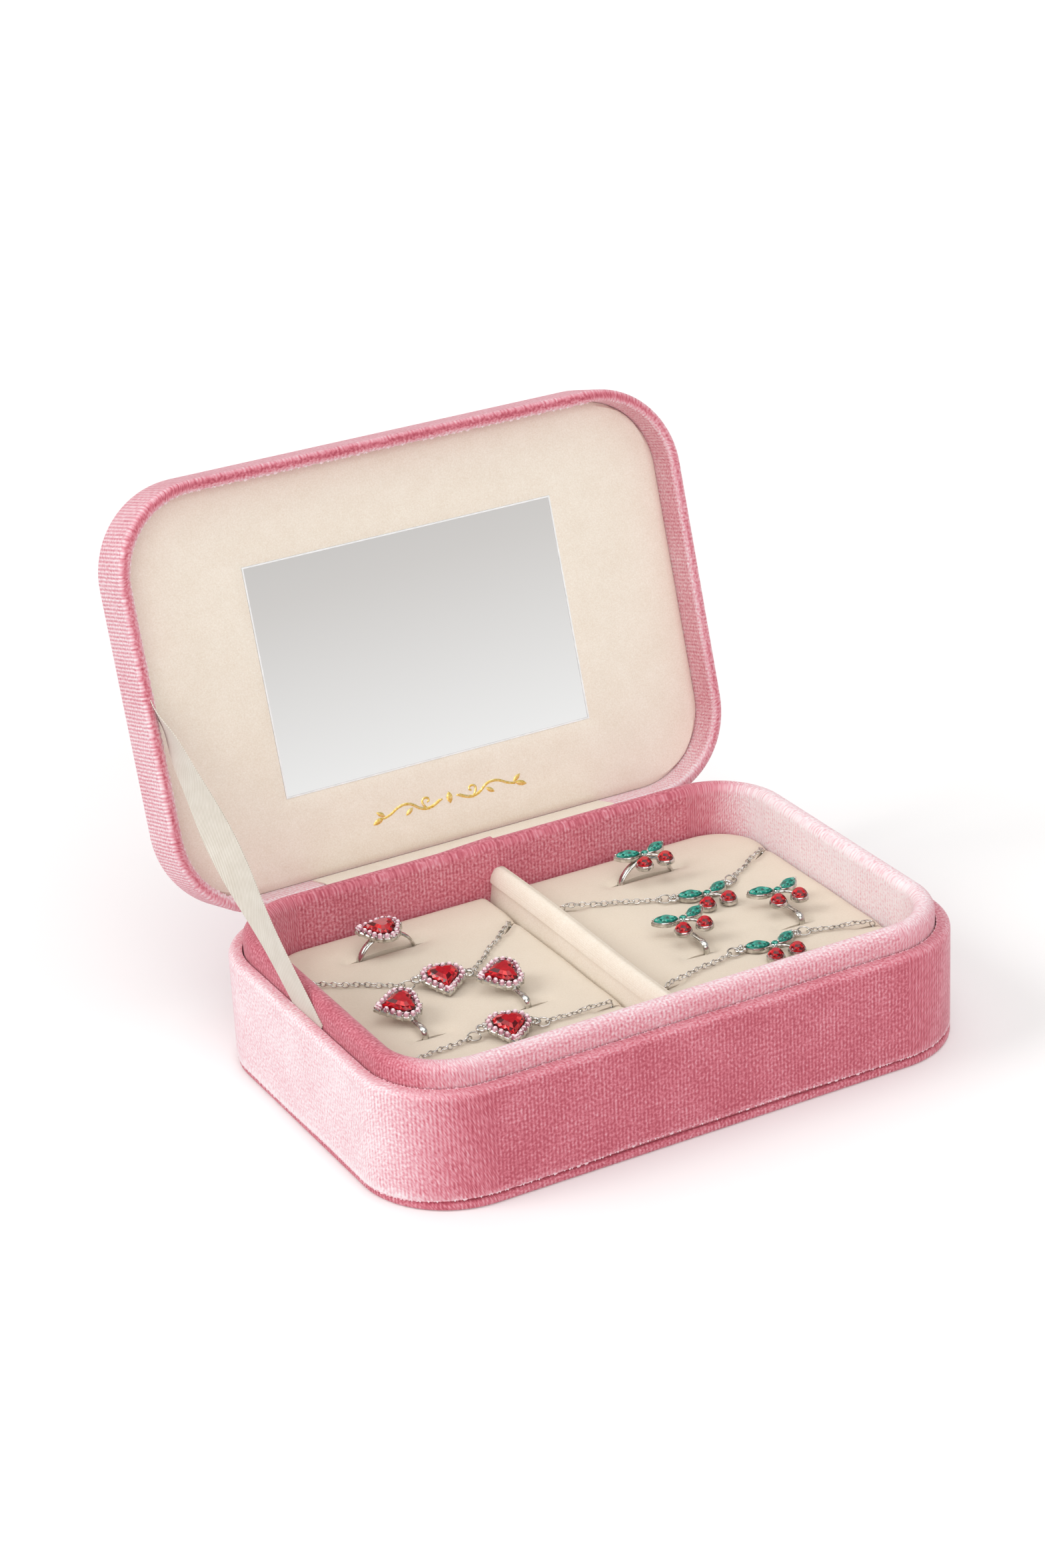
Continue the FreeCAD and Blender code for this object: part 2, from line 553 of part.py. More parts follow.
def slits(piece, side):
    """The cuts that the jewelry stands in: one for the ring, two for ear clips, four for chains."""
    middle = pad_middle(side)
    ring_depth = "2 * sizes.ring_radius - sizes.ring_rise + sizes.slit_reach"
    ring_width = "sizes.ring_width + 2 * sizes.slit_room"
    slit(piece, "ring_slit", f"{middle} + sizes.ring_shift", "sizes.ring_back", 0,
         "sizes.ring_slit_length", ring_width, ring_depth)
    for hand in SIDES:
        slit(piece, f"{hand}_earring_slit", f"{middle} + sizes.{hand}_earring_shift",
             "-sizes.earring_front", 0, "sizes.earring_slit_length",
             "sizes.clip_wire + 2 * sizes.slit_room", "sizes.clip_depth + sizes.slit_reach")
    for jewel in ("necklace", "bracelet"):
        for hand in SIDES:
            start, end = chain_line(side, jewel, hand)
            along = (end - start).normalize()
            centre = end + along * (number("sizes.chain_end") - number("sizes.chain_slit_length") / 2)
            slit(piece, f"{hand}_{jewel}_slit", centre.x, centre.y,
                 math.degrees(math.atan2(along.y, along.x)), "sizes.chain_slit_length",
                 "2 * (sizes.chain_radius + sizes.slit_room)", "sizes.chain_depth + sizes.slit_reach")


def turn_open(piece):
    """Turn a piece of the lid from shut to open, about the hinge axis."""
    angle = number("sizes.lid_open_angle")
    piece.Placement = FreeCAD.Placement(FreeCAD.Vector(), FreeCAD.Rotation(FreeCAD.Vector(-1, 0, 0), angle))
    piece.setExpression("Placement.Rotation.Angle", OPEN)
    piece.setExpression("Placement.Base.y", f"{HINGE_Y} * (1 - cos({OPEN})) - {HINGE_Z} * sin({OPEN})")
    piece.setExpression("Placement.Base.z", f"{HINGE_Z} * (1 - cos({OPEN})) + {HINGE_Y} * sin({OPEN})")


def opened(y, z):
    """Where a point of the shut lid lies, seen along X, once the lid is open."""
    angle = math.radians(number("sizes.lid_open_angle"))
    hinge_y, hinge_z = number(HINGE_Y), number(HINGE_Z)
    back, up = y - hinge_y, z - hinge_z
    return FreeCAD.Vector(
        0,
        hinge_y + back * math.cos(angle) + up * math.sin(angle),
        hinge_z - back * math.sin(angle) + up * math.cos(angle),
    )


def lid():
    """The lid: boards in velvet, and a padded cream panel that holds the mirror."""
    first = len(pieces)
    wall_out, wall_in = "sizes.velvet", "(sizes.lid_thickness - sizes.velvet)"
    wall_low, board_high = f"({RIM} + sizes.velvet)", f"({LID_TOP} - sizes.velvet)"
    ring("lid_wall", wall_out, wall_in, wall_low, BOARD_LOW)
    board = plate("lid_top_board", "sizes.velvet", BOARD_LOW, board_high)
    dress(board, "Fillet", "sizes.lid_edge - sizes.velvet", edges_at(board, board_high))
    cover = plate("lid_cover", "0", RIM, LID_TOP)
    cut_plate(cover, "inside", "sizes.lid_thickness", RIM, BOARD_LOW)
    cut_plate(cover, "board", "sizes.velvet", BOARD_LOW, board_high)
    cut_ring(cover, "wall", wall_out, wall_in, wall_low, BOARD_LOW)
    dress(cover, "Fillet", "sizes.lid_edge - sizes.velvet", edges_at(cover, board_high))
    dress(cover, "Fillet", "sizes.lid_edge", edges_at(cover, LID_TOP))
    dress(cover, "Fillet", "sizes.rim_edge", edges_at(cover, RIM))
    plate("lid_foam", PANEL_INSET, CARD_BACK, BOARD_LOW)
    window = {"lid_panel_card": "2 * (sizes.mirror_lap + sizes.mirror_room)", "lid_panel_cover": "0"}
    face = f"({PANEL} + sizes.suede)"
    card = plate("lid_panel_card", f"({PANEL_INSET} + sizes.suede)", face, CARD_BACK)
    panel = plate("lid_panel_cover", PANEL_INSET, PANEL, CARD_BACK)
    dress(panel, "Fillet", "sizes.panel_edge", edges_at(panel, PANEL))
    cut_plate(panel, "card", f"({PANEL_INSET} + sizes.suede)", face, CARD_BACK)
    for piece in (card, panel):
        drawing = new_sketch(piece, "window", PANEL)
        room = window[piece.Label]
        rectangle(drawing, f"sizes.mirror_length + {room}", f"sizes.mirror_height + {room}")
        pocket(piece, drawing, f"{CARD_BACK} - {PANEL}")
    mirror = new_body("mirror")
    drawing = new_sketch(mirror, "plan", face)
    rectangle(drawing, "sizes.mirror_length + 2 * sizes.mirror_lap",
              "sizes.mirror_height + 2 * sizes.mirror_lap")
    pad(mirror, drawing, "sizes.mirror_glass")
    for piece in pieces[first:]:
        turn_open(piece)


def sheet_piece(label, path, thickness, low_x, high_x):
    """A strip of cloth: a path seen along X, given a thickness and drawn out from low_x to high_x."""
    section = Part.Face(path.makeOffset2D(thickness / 2))
    section.translate(FreeCAD.Vector(low_x, 0, 0))
    strip = doc.addObject("Part::Feature", label)
    strip.Label = label
    strip.Shape = section.extrude(FreeCAD.Vector(high_x - low_x, 0, 0))
    pieces.append(strip)


def line(a, b):
    return Part.LineSegment(a, b).toShape()


def rounded_path(points, radius):
    """Straight runs through the points, joined by tangent arcs."""
    edges, start = [], points[0]
    for before, corner, after in zip(points, points[1:], points[2:]):
        incoming, outgoing = (before - corner).normalize(), (after - corner).normalize()
        half = incoming.getAngle(outgoing) / 2
        reach = radius / math.tan(half)
        inward = (incoming + outgoing).normalize()
        middle = corner + inward * (radius / math.sin(half) - radius)
        a, b = corner + incoming * reach, corner + outgoing * reach
        edges += [line(start, a), Part.Arc(a, middle, b).toShape()]
        start = b
    return Part.Wire(edges + [line(start, points[-1])])


def hinge():
    """The cloth hinge: a cream strip inside, and a velvet band glued across the back of both halves."""
    thickness = number("sizes.strip_thickness")
    lid_face = number("sizes.box_depth / 2 - sizes.lid_thickness") - thickness / 2
    slot = number(f"sizes.box_depth / 2 - {COLLAR_OUT} + sizes.collar_gap / 2")
    wall = number("sizes.wall_top")
    over = wall + thickness
    path = [
        opened(lid_face, number(PANEL) - thickness),
        opened(lid_face, number(RIM)),
        FreeCAD.Vector(0, slot, over),
        FreeCAD.Vector(0, slot, wall - number("sizes.strip_tuck")),
    ]
    half = number("sizes.strip_width") / 2
    sheet_piece("hinge_strip", rounded_path(path, thickness), thickness, -half, half)
    thickness = number("sizes.cloth_thickness")
    back = number("sizes.box_depth") / 2 + thickness / 2
    corner_up = FreeCAD.Vector(0, back, 0)
    lid_low, lid_high = opened(back, number(RIM)), opened(back, number(LID_TOP))
    along = (lid_high - lid_low).normalize()
    corner_up.z = lid_low.z + (back - lid_low.y) / along.y * along.z
    bend = number("sizes.cloth_bend")
    turn = math.radians(number("sizes.lid_open_angle"))
    reach = bend * math.tan(turn / 2) + number("sizes.cloth_lap")
    path = [corner_up - FreeCAD.Vector(0, 0, reach), corner_up, corner_up + along * reach]
    half = number("sizes.cloth_width") / 2
    sheet_piece("hinge_band", rounded_path(path, bend), thickness, -half, half)


def ribbon():
    """The satin ribbon that stops the lid, flat against the left side, in its slot at both ends."""
    thickness = number("sizes.ribbon_thickness")
    middle = -number(f"sizes.box_length / 2 - {COLLAR_OUT} + sizes.collar_gap / 2")
    low = FreeCAD.Vector(0, -number("sizes.ribbon_front"), number("sizes.wall_top"))
    high = opened(-number("sizes.ribbon_lid"), number(PANEL) + number("sizes.suede"))
    along = (high - low).normalize()
    low = low - along * number("sizes.ribbon_tuck")
    across = FreeCAD.Vector(0, -along.z, along.y) * (number("sizes.ribbon_width") / 2)
    corners = [low - across, low + across, high + across, high - across]
    outline = Part.Face(Part.makePolygon(corners + corners[:1]))
    outline.translate(FreeCAD.Vector(middle - thickness / 2, 0, 0))
    strip = doc.addObject("Part::Feature", "ribbon_stay")
    strip.Label = "ribbon_stay"
    strip.Shape = outline.extrude(FreeCAD.Vector(thickness, 0, 0))
    pieces.append(strip)


def jewel_pose(rise, tilt="0", turn="0"):
    """A head above its place on the pad: turned about Z, then leaned towards the front."""
    lean = FreeCAD.Rotation(FreeCAD.Vector(1, 0, 0), number(tilt))
    spin = FreeCAD.Rotation(FreeCAD.Vector(0, 0, 1), number(turn))
    return FreeCAD.Placement(vector(z=rise), lean.multiply(spin))


def heart_tip(grow):
    """How far the point of a heart, set out by grow, lies from the heart's middle."""
    slope = math.radians(number("sizes.heart_slope"))
    radius = number(f"sizes.heart_lobe + {grow}")
    return radius / math.sin(slope) + number("sizes.heart_spread") / math.tan(slope)


def pendant_pose(theme):
    """A pendant on its pad: a heart leans on its point, cherries lie flat."""
    if theme == "cherry":
        return jewel_pose("sizes.pendant_lift")
    drop = heart_tip("sizes.heart_rim") * math.sin(math.radians(number("sizes.pendant_tilt")))
    return jewel_pose(f"sizes.pendant_lift + {drop}", "sizes.pendant_tilt", "sizes.heart_pendant_turn")


def eyelet_place(theme, sign):
    """Middle of the eyelet at one side of a pendant, in the pendant's own plan."""
    reach = "sizes.eyelet_radius - sizes.eyelet_sink"
    if theme == "heart":
        return vector(f"{sign} * (sizes.heart_spread + sizes.heart_lobe + sizes.heart_rim + {reach})")
    turn = "(sizes.leaf_turn * 1 deg)"
    out = f"(sizes.leaf_length / 2 + sizes.setting_rim + {reach})"
    return vector(f"{sign} * (sizes.leaf_out + {out} * cos({turn}))", f"sizes.leaf_up + {out} * sin({turn})")


def pendant_place(side, jewel):
    """Where a pendant lies: the point of the pad under its middle."""
    name = f"sizes.{THEMES[side]}_{jewel}"
    return f"{pad_middle(side)} + {name}_shift", f"{name}_back"


def chain_line(side, jewel, hand):
    """Plan of one chain run: from its eyelet to the slit at the edge of the pad."""
    theme = THEMES[side]
    x, y = pendant_place(side, jewel)
    eyelet = pendant_pose(theme).multVec(eyelet_place(theme, SIDES[hand]))
    start = vector(x, y) + FreeCAD.Vector(eyelet.x, eyelet.y, 0)
    half = f"(({PAD_OUTER} - {PAD_INNER}) / 2 - sizes.chain_end)"
    back = "sizes.necklace_slit_back" if jewel == "necklace" else "-sizes.bracelet_slit_front"
    return start, vector(f"{pad_middle(side)} + {SIDES[hand]} * {half}", back)


def seat(piece, x, y):
    """Put a jewel's own origin on the top of its pad."""
    piece.setExpression("Placement.Base.x", x)
    piece.setExpression("Placement.Base.y", y)
    piece.setExpression("Placement.Base.z", "sizes.pad_top")
    doc.recompute()


def heart_head(metal, name, x, y, pose):
    """A heart on its plate: adds the plate to the metal, then makes the stone and its row of crystals."""
    drawing = new_sketch(metal, "plate", pose=pose)
    heart_outline(drawing, "sizes.heart_rim")
    pad(metal, drawing, "sizes.plate_height")
    stone = new_body(f"{name}_stone")
    drawing = new_sketch(stone, "girdle", "sizes.plate_height", pose=pose)
    heart_outline(drawing, "0")
    pad(stone, drawing, "sizes.stone_height")
    crown = stone.Shape.Faces[-1].Edges
    names = [f"Edge{i}" for i, edge in enumerate(stone.Shape.Edges, 1) if any(edge.isSame(c) for c in crown)]
    dress(stone, "Chamfer", "sizes.heart_bevel", names)
    seat(stone, x, y)
    halo = doc.addObject("Part::Feature", f"{name}_halo")
    halo.Label = f"{name}_halo"
    halo.Shape = Part.makeCompound(crystals())
    halo.Placement = stone.Placement.multiply(pose)
    pieces.append(halo)


def crystals():
    """Six-sided cut crystals, evenly spaced along the heart's outline, on top of the plate."""
    slope = math.radians(number("sizes.heart_slope"))
    radius = number("sizes.heart_lobe + sizes.crystal_line")
    spread = number("sizes.heart_spread")
    notch = math.acos(-spread / radius)
    tip = FreeCAD.Vector(0, -heart_tip("sizes.crystal_line"), 0)
    touch = FreeCAD.Vector(spread + radius * math.cos(slope), -radius * math.sin(slope), 0)
    circle = Part.Circle(FreeCAD.Vector(spread, 0, 0), FreeCAD.Vector(0, 0, 1), radius)
    half = Part.Wire([line(tip, touch), Part.ArcOfCircle(circle, -slope, notch).toShape()])
    per_side = int(number("sizes.crystal_count")) // 2
    spots = half.discretize(Number=2 * per_side + 1)[1::2]
    spots += [FreeCAD.Vector(-spot.x, spot.y, 0) for spot in spots]
    low, high = number("sizes.plate_height"), number("sizes.plate_height + sizes.crystal_height")
    return [crystal(spot, low, high, number("sizes.crystal_radius")) for spot in spots]


def crystal(spot, low, high, radius):
    """A six-sided cut crystal that narrows to a flat table."""
    waist = (low + high) / 2
    rings = [(low, radius), (waist, radius), (high, radius / 2)]
    wires = []
    for level, size in rings:
        corners = [FreeCAD.Vector(size * math.cos(k * math.pi / 3), size * math.sin(k * math.pi / 3), level)
                   for k in range(7)]
        wires.append(Part.makePolygon([spot + corner for corner in corners]))
    return Part.makeLoft(wires, True, True)


def leaf_poses(pose):
    """The two leaves of a pair of cherries, in the pose of the pair."""
    for sign in SIDES.values():
        turn = FreeCAD.Rotation(sign * number("sizes.leaf_turn"), 0, 0)
        place = vector(f"{sign} * sizes.leaf_out", "sizes.leaf_up")
        yield pose.multiply(FreeCAD.Placement(place, turn))


def cherry_head(metal, name, x, y, pose):
    """A pair of cherries: silver settings and stems, two leaf stones and two round stones."""
    stones, leaves = new_body(f"{name}_stones"), new_body(f"{name}_leaves")
    drawing = new_sketch(metal, "knot", pose=pose)
    circles(drawing, "sizes.knot_radius")
    pad(metal, drawing, "sizes.plate_height")
    for hand, leaf in zip(SIDES, leaf_poses(pose)):
        drawing = new_sketch(metal, f"{hand}_leaf_setting", pose=leaf)
        leaf_outline(drawing, "sizes.setting_rim")
        pad(metal, drawing, "sizes.plate_height")
        drawing = new_sketch(leaves, f"{hand}_leaf", "sizes.plate_height", pose=leaf)
        leaf_outline(drawing, "0")
        pad(leaves, drawing, "sizes.leaf_height")
    for hand, sign in SIDES.items():
        down = vector(f"{sign} * sizes.cherry_out", "-sizes.cherry_down")
        angle = math.degrees(math.atan2(down.y, down.x))
        stem = pose.multiply(FreeCAD.Placement(down * 0.5, FreeCAD.Rotation(angle, 0, 0)))
        drawing = new_sketch(metal, f"{hand}_stem", pose=stem)
        rectangle(drawing, "sqrt(pow(sizes.cherry_out; 2) + pow(sizes.cherry_down; 2))", "sizes.stem_width")
        pad(metal, drawing, "sizes.plate_height")
        cup = pose.multiply(FreeCAD.Placement(down, FreeCAD.Rotation()))
        drawing = new_sketch(metal, f"{hand}_cup", pose=cup)
        circles(drawing, "sizes.cherry_radius + sizes.setting_rim")
        pad(metal, drawing, "sizes.plate_height")
        drawing = new_sketch(stones, f"{hand}_cherry", "sizes.plate_height", pose=cup)
        circles(drawing, "sizes.cherry_radius")
        pad(stones, drawing, "sizes.cherry_height")
    top = f"{pose.Base.z} + sizes.plate_height + sizes.cherry_height"
    dress(stones, "Fillet", "sizes.cherry_crown", edges_at(stones, top))
    top = f"{pose.Base.z} + sizes.plate_height + sizes.leaf_height"
    dress(leaves, "Chamfer", "sizes.leaf_bevel", edges_at(leaves, top))
    seat(stones, x, y)
    seat(leaves, x, y)


HEADS = {"heart": heart_head, "cherry": cherry_head}


def finger_ring(side):
    """A finger ring, upright in its slit, with its head on top."""
    theme = THEMES[side]
    name = f"{theme}_ring"
    x, y = f"{pad_middle(side)} + sizes.ring_shift", "sizes.ring_back"
    metal = new_body(f"{name}_band")
    drawing = new_sketch(metal, "hoop", plane="XZ_Plane")
    circles(drawing, "sizes.ring_radius", "sizes.ring_radius - sizes.ring_thickness",
            y="sizes.ring_rise - sizes.ring_radius")
    pad(metal, drawing, "sizes.ring_width", both_ways=True)
    turn = "sizes.heart_ring_turn" if theme == "heart" else "0"
    HEADS[theme](metal, name, x, y, jewel_pose("sizes.ring_rise - sizes.head_sink", turn=turn))
    seat(metal, x, y)


def ear_clip(side, hand):
    """An ear clip: its wire stands in the slit and carries the head behind it on a post."""
    theme = THEMES[side]
    name = f"{theme}_earring_{hand}"
    x = f"{pad_middle(side)} + sizes.{hand}_earring_shift + sizes.{theme}_clip_shift"
    y = "sizes.clip_reach - sizes.earring_front"
    metal = new_body(f"{name}_clip")
    path = new_sketch(metal, "wire_path", plane="YZ_Plane")
    clip_path(path)
    section = new_sketch(metal, "wire", plane="XZ_Plane")
    circles(section, "sizes.clip_wire / 2", y="sizes.clip_rise")
    wire = metal.newObject("PartDesign::AdditivePipe", f"{name}_wire_pipe")
    wire.Profile = section
    wire.Spine = (path, ["Edge1", "Edge2", "Edge3"])
    doc.recompute()
    drawing = new_sketch(metal, "post", "sizes.clip_rise")
    circles(drawing, "sizes.clip_post")
    pad(metal, drawing, "sizes.head_rise + sizes.head_sink - sizes.clip_rise")
    lean = ("sizes.earring_tilt", "sizes.heart_earring_turn") if theme == "heart" else ("0", "0")
    HEADS[theme](metal, name, x, y, jewel_pose("sizes.head_rise", *lean))
    seat(metal, x, y)


def clip_path(drawing):
    """Ear clip wire seen along X: forward from under the head, round a bend and down into the slit."""
    reach, rise = number("sizes.clip_reach"), number("sizes.clip_rise")
    bend, depth = number("sizes.clip_bend"), number("sizes.clip_depth")
    turn = Part.Circle(FreeCAD.Vector(bend - reach, rise - bend, 0), FreeCAD.Vector(0, 0, 1), bend)
    drawing.addGeometry(line_segment((0, rise), (bend - reach, rise)))
    drawing.addGeometry(Part.ArcOfCircle(turn, math.pi / 2, math.pi))
    drawing.addGeometry(line_segment((-reach, rise - bend), (-reach, -depth)))
    constrain(
        drawing,
        ("Tangent", 0, 2, 1, 1),
        ("Tangent", 2, 1, 1, 2),
        ("Horizontal", 0),
        ("Vertical", 2),
        ("PointOnObject", 0, 1, -2),
    )
    dimension(drawing, "Radius", 1, size="sizes.clip_bend")
    dimension(drawing, "DistanceY", -1, 1, 0, 1, size="sizes.clip_rise")
    dimension(drawing, "DistanceX", 2, 1, -1, 1, size="sizes.clip_reach")
    dimension(drawing, "DistanceY", 2, 2, -1, 1, size="sizes.clip_depth")


def line_segment(a, b):
    return Part.LineSegment(FreeCAD.Vector(*a, 0), FreeCAD.Vector(*b, 0))


def chain_jewel(side, jewel):
    """A necklace or bracelet: a pendant with two eyelets, and a chain run from each to its slit."""
    theme = THEMES[side]
    name = f"{theme}_{jewel}"
    x, y = pendant_place(side, jewel)
    pose = pendant_pose(theme)
    metal = new_body(f"{name}_setting")
    HEADS[theme](metal, name, x, y, pose)
    for hand, sign in SIDES.items():
        place = FreeCAD.Placement(eyelet_place(theme, sign), FreeCAD.Rotation())
        drawing = new_sketch(metal, f"{hand}_eyelet", pose=pose.multiply(place))
        circles(drawing, "sizes.eyelet_radius", "sizes.eyelet_hole")
        pad(metal, drawing, "sizes.plate_height")
    seat(metal, x, y)
    chain = doc.addObject("Part::Feature", f"{name}_chain")
    chain.Label = f"{name}_chain"
    chain.Shape = Part.makeCompound([chain_run(side, jewel, hand) for hand in SIDES])
    pieces.append(chain)


def chain_run(side, jewel, hand):
    """One run of chain as a plain tube: along the pad, then down into the slit."""
    start, end = chain_line(side, jewel, hand)
    level = number("sizes.pad_top + sizes.pendant_lift + sizes.chain_radius")
    low = number("sizes.pad_top - sizes.chain_depth")
    along = (end - start).normalize()
    start = start + along * (number("sizes.eyelet_radius") - number("sizes.chain_sink"))
    up = FreeCAD.Vector(0, 0, 1)
    path = rounded_path([start + up * level, end + up * level, end + up * low], number("sizes.chain_bend"))
    radius = number("sizes.chain_radius")
    section = Part.Wire(Part.Circle(start + up * level, along, radius).toShape())
    tube = path.makePipeShell([section], True, False)
    plain = math.pi * radius ** 2 * path.Length
    if abs(tube.Volume - plain) > 0.01 * plain:
        raise RuntimeError(f"{side} {jewel} chain: {tube.Volume:.1f} against {plain:.1f}")
    return tube


base_plate()
outer_wall()
collar()
divider()
pads()
lid()
hinge()
ribbon()
for side in SIDES:
    finger_ring(side)
    for hand in SIDES:
        ear_clip(side, hand)
    for jewel in ("necklace", "bracelet"):
        chain_jewel(side, jewel)
doc.recompute()

# Every object has to be whole before anything is written.
for item in doc.Objects:
    if "Invalid" in item.State or "Error" in item.State:
        raise RuntimeError(f"{item.Name} failed: {item.State}")
os.makedirs("parts", exist_ok=True)
for piece in pieces:
    shape = piece.Shape
    if shape.isNull() or not shape.isValid() or not shape.Solids:
        raise RuntimeError(f"{piece.Label} has no valid solid")
    shape.exportStep(f"parts/{piece.Label}.step")
    print(f"{piece.Label}: {len(shape.Solids)} solid(s), {shape.Volume:.1f} mm3")
print(len(pieces), "sub-parts")
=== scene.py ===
# %% [markdown]
# # A velvet jewelry box
#
# The box is a low tray of ribbed pink velvet with a mirror in its lid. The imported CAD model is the
# frame: it gives every piece its place and its body. This lesson dresses that frame with velvet,
# cream cloth, satin, silver and cut stones, one kind of piece at a time.

import math
import bmesh
import bpy
from mathutils import Matrix, Vector


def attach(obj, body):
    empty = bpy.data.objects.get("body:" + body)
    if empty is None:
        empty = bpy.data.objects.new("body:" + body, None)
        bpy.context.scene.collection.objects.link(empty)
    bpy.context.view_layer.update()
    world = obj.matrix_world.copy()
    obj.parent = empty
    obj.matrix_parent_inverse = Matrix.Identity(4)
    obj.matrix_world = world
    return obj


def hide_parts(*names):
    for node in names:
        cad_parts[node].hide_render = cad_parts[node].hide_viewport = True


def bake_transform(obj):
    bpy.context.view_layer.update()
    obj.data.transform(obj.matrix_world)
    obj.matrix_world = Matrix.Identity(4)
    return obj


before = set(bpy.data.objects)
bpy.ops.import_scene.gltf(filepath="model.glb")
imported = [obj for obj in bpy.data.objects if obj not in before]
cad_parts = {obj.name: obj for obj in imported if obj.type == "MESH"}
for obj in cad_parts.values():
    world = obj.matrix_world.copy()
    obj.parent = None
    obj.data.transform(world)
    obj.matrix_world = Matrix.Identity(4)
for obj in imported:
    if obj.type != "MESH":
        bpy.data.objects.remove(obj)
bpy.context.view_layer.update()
MM = 0.001

# %% [markdown]
# ## Camera
#
# The view was found by fitting the box's straight edges and round corners to the photograph. It
# gives the place of the camera and its three axes. A long lens keeps the box nearly free of
# perspective. Its focal length was found in pixels of the photograph, and Blender wants it in
# millimetres of a sensor.

# %% Camera
FRAME_HEIGHT, FOCAL, SENSOR = 2352, 5357.55, 36
scene = bpy.context.scene
scene.view_settings.view_transform = "Standard"
bpy.ops.object.camera_add()
camera = bpy.context.object
camera.name = "camera"
right = Vector((0.8728, -0.4859, -0.0464))
up = Vector((0.2397, 0.3437, 0.9080))
back = Vector((-0.4252, -0.8036, 0.4164))
place = Vector((-399.87, -723.33, 453.52)) * MM
turn = Matrix((right, up, back)).transposed().to_4x4()
camera.matrix_world = Matrix.Translation(place) @ turn
camera.data.sensor_fit = "VERTICAL"
camera.data.sensor_height = SENSOR
camera.data.lens = FOCAL / FRAME_HEIGHT * SENSOR
scene.camera = camera
print("camera at", [round(v, 3) for v in place], "lens", round(camera.data.lens, 1))

# %% [markdown]
# ## Sizes
#
# The outline of the box is a rectangle with round corners, and almost every piece follows it at
# some distance inside. These are the sizes of the CAD model, in metres. The straight sides end
# where the corners begin, and an arc is the length of one corner.

# %% Sizes of the box
LENGTH, DEPTH, CORNER = 170 * MM, 117 * MM, 25 * MM
BASE, WALL_TOP, COLLAR_TOP = 2.6 * MM, 32 * MM, 38 * MM
WALL, COLLAR_OUT, COLLAR_IN = 3.6 * MM, 4.0 * MM, 9.6 * MM
RIM, LID_TOP, PANEL = 32.3 * MM, 50.3 * MM, 41.0 * MM
HINGE = Vector((0, 59.5, 29)) * MM
OPENING = math.radians(106)
STRAIGHT_X, STRAIGHT_Y = LENGTH / 2 - CORNER, DEPTH / 2 - CORNER
ARC = CORNER * math.pi / 2
PERIMETER = 4 * (STRAIGHT_X + STRAIGHT_Y + ARC)
print("outline", round(PERIMETER / MM, 1), "mm round")

# %% [markdown]
# ## Working in edit mode
#
# Pieces are shaped as by hand: a primitive is added, and faces or edges are picked by where they
# are, then bevelled, inset or extruded. An operator acts on everything that is selected, so all of
# it is deselected first, and a test of place or direction then says what to pick.

# %% Adding and picking


def focus(obj):
    """Make an object the active one, with nothing else selected."""
    bpy.ops.object.select_all(action="DESELECT")
    obj.select_set(True)
    bpy.context.view_layer.objects.active = obj


def primitive(operator, name, **settings):
    """Add a primitive with nothing else selected, and give it its own name."""
    bpy.ops.object.select_all(action="DESELECT")
    operator(**settings)
    obj = bpy.context.object
    obj.name = obj.data.name = name
    return obj


def settle():
    """Put the active object's place, turn and scale into its mesh."""
    bpy.ops.object.transform_apply(location=True, rotation=True, scale=True)


def block(name, low, high):
    """A cube stretched between two corners."""
    low, high = Vector(low), Vector(high)
    obj = primitive(bpy.ops.mesh.primitive_cube_add, name, size=1, location=(low + high) / 2)
    obj.scale = high - low
    settle()
    return obj


def pick(obj, kind, test):
    """In edit mode, select just the edges or faces that pass a test."""
    bpy.ops.mesh.select_mode(type=kind)
    bpy.ops.mesh.select_all(action="DESELECT")
    mesh = bmesh.from_edit_mesh(obj.data)
    for part in mesh.edges if kind == "EDGE" else mesh.faces:
        part.select = test(part)
    mesh.select_flush_mode()
    bmesh.update_edit_mesh(obj.data)


def level(edge, height):
    """An edge that lies flat at a height."""
    return all(abs(v.co.z - height) < 1e-5 for v in edge.verts)


def upright(edge):
    """An edge that stands straight up."""
    a, b = edge.verts
    return abs(a.co.z - b.co.z) > 1e-4 and (a.co.xy - b.co.xy).length < 1e-6


print("ways to add and pick: block, edges that are level or upright")

# %% [markdown]
# Long flat sides have no points between their ends. They are cut across at even steps, so that
# they can be bent, and so that a tone can be stored at each point.

# %% Rounding and cutting
X, Y, Z = range(3)


def bevel(radius, steps):
    """Round the selected edges."""
    bpy.ops.mesh.bevel(offset=radius, segments=steps, profile=0.5, affect="EDGES", clamp_overlap=False)


def cut_across(axis, place):
    """Cut the whole mesh square to an axis, at a place along it."""
    normal = Vector((0, 0, 0))
    normal[axis] = 1
    bpy.ops.mesh.select_all(action="SELECT")
    bpy.ops.mesh.bisect(plane_co=normal * place, plane_no=normal)


def slice_up(step):
    """Cut across X and Y at even steps."""
    for axis, reach in ((X, LENGTH / 2), (Y, DEPTH / 2)):
        count = int(reach / step)
        for k in range(-count, count + 1):
            cut_across(axis, k * step)


def smooth(obj, angle=40):
    """Shade smoothly across every edge that bends less than an angle."""
    focus(obj)
    bpy.ops.object.shade_smooth_by_angle(angle=math.radians(angle))


print("ways to round, cut and smooth")

# %% [markdown]
# ## Handing a piece over
#
# A finished piece gets its material and the body that it rides on, and the CAD nodes that it
# stands for are hidden. A piece between two bodies gets no body here.

# %% Dressing


def measure(obj):
    """Print the number of faces and the size of a piece."""
    sides = [[v.co[k] for v in obj.data.vertices] for k in range(3)]
    sizes = " x ".join(f"{(max(s) - min(s)) / MM:.1f}" for s in sides)
    print(f"{obj.name}: {len(obj.data.polygons)} faces, {sizes} mm")


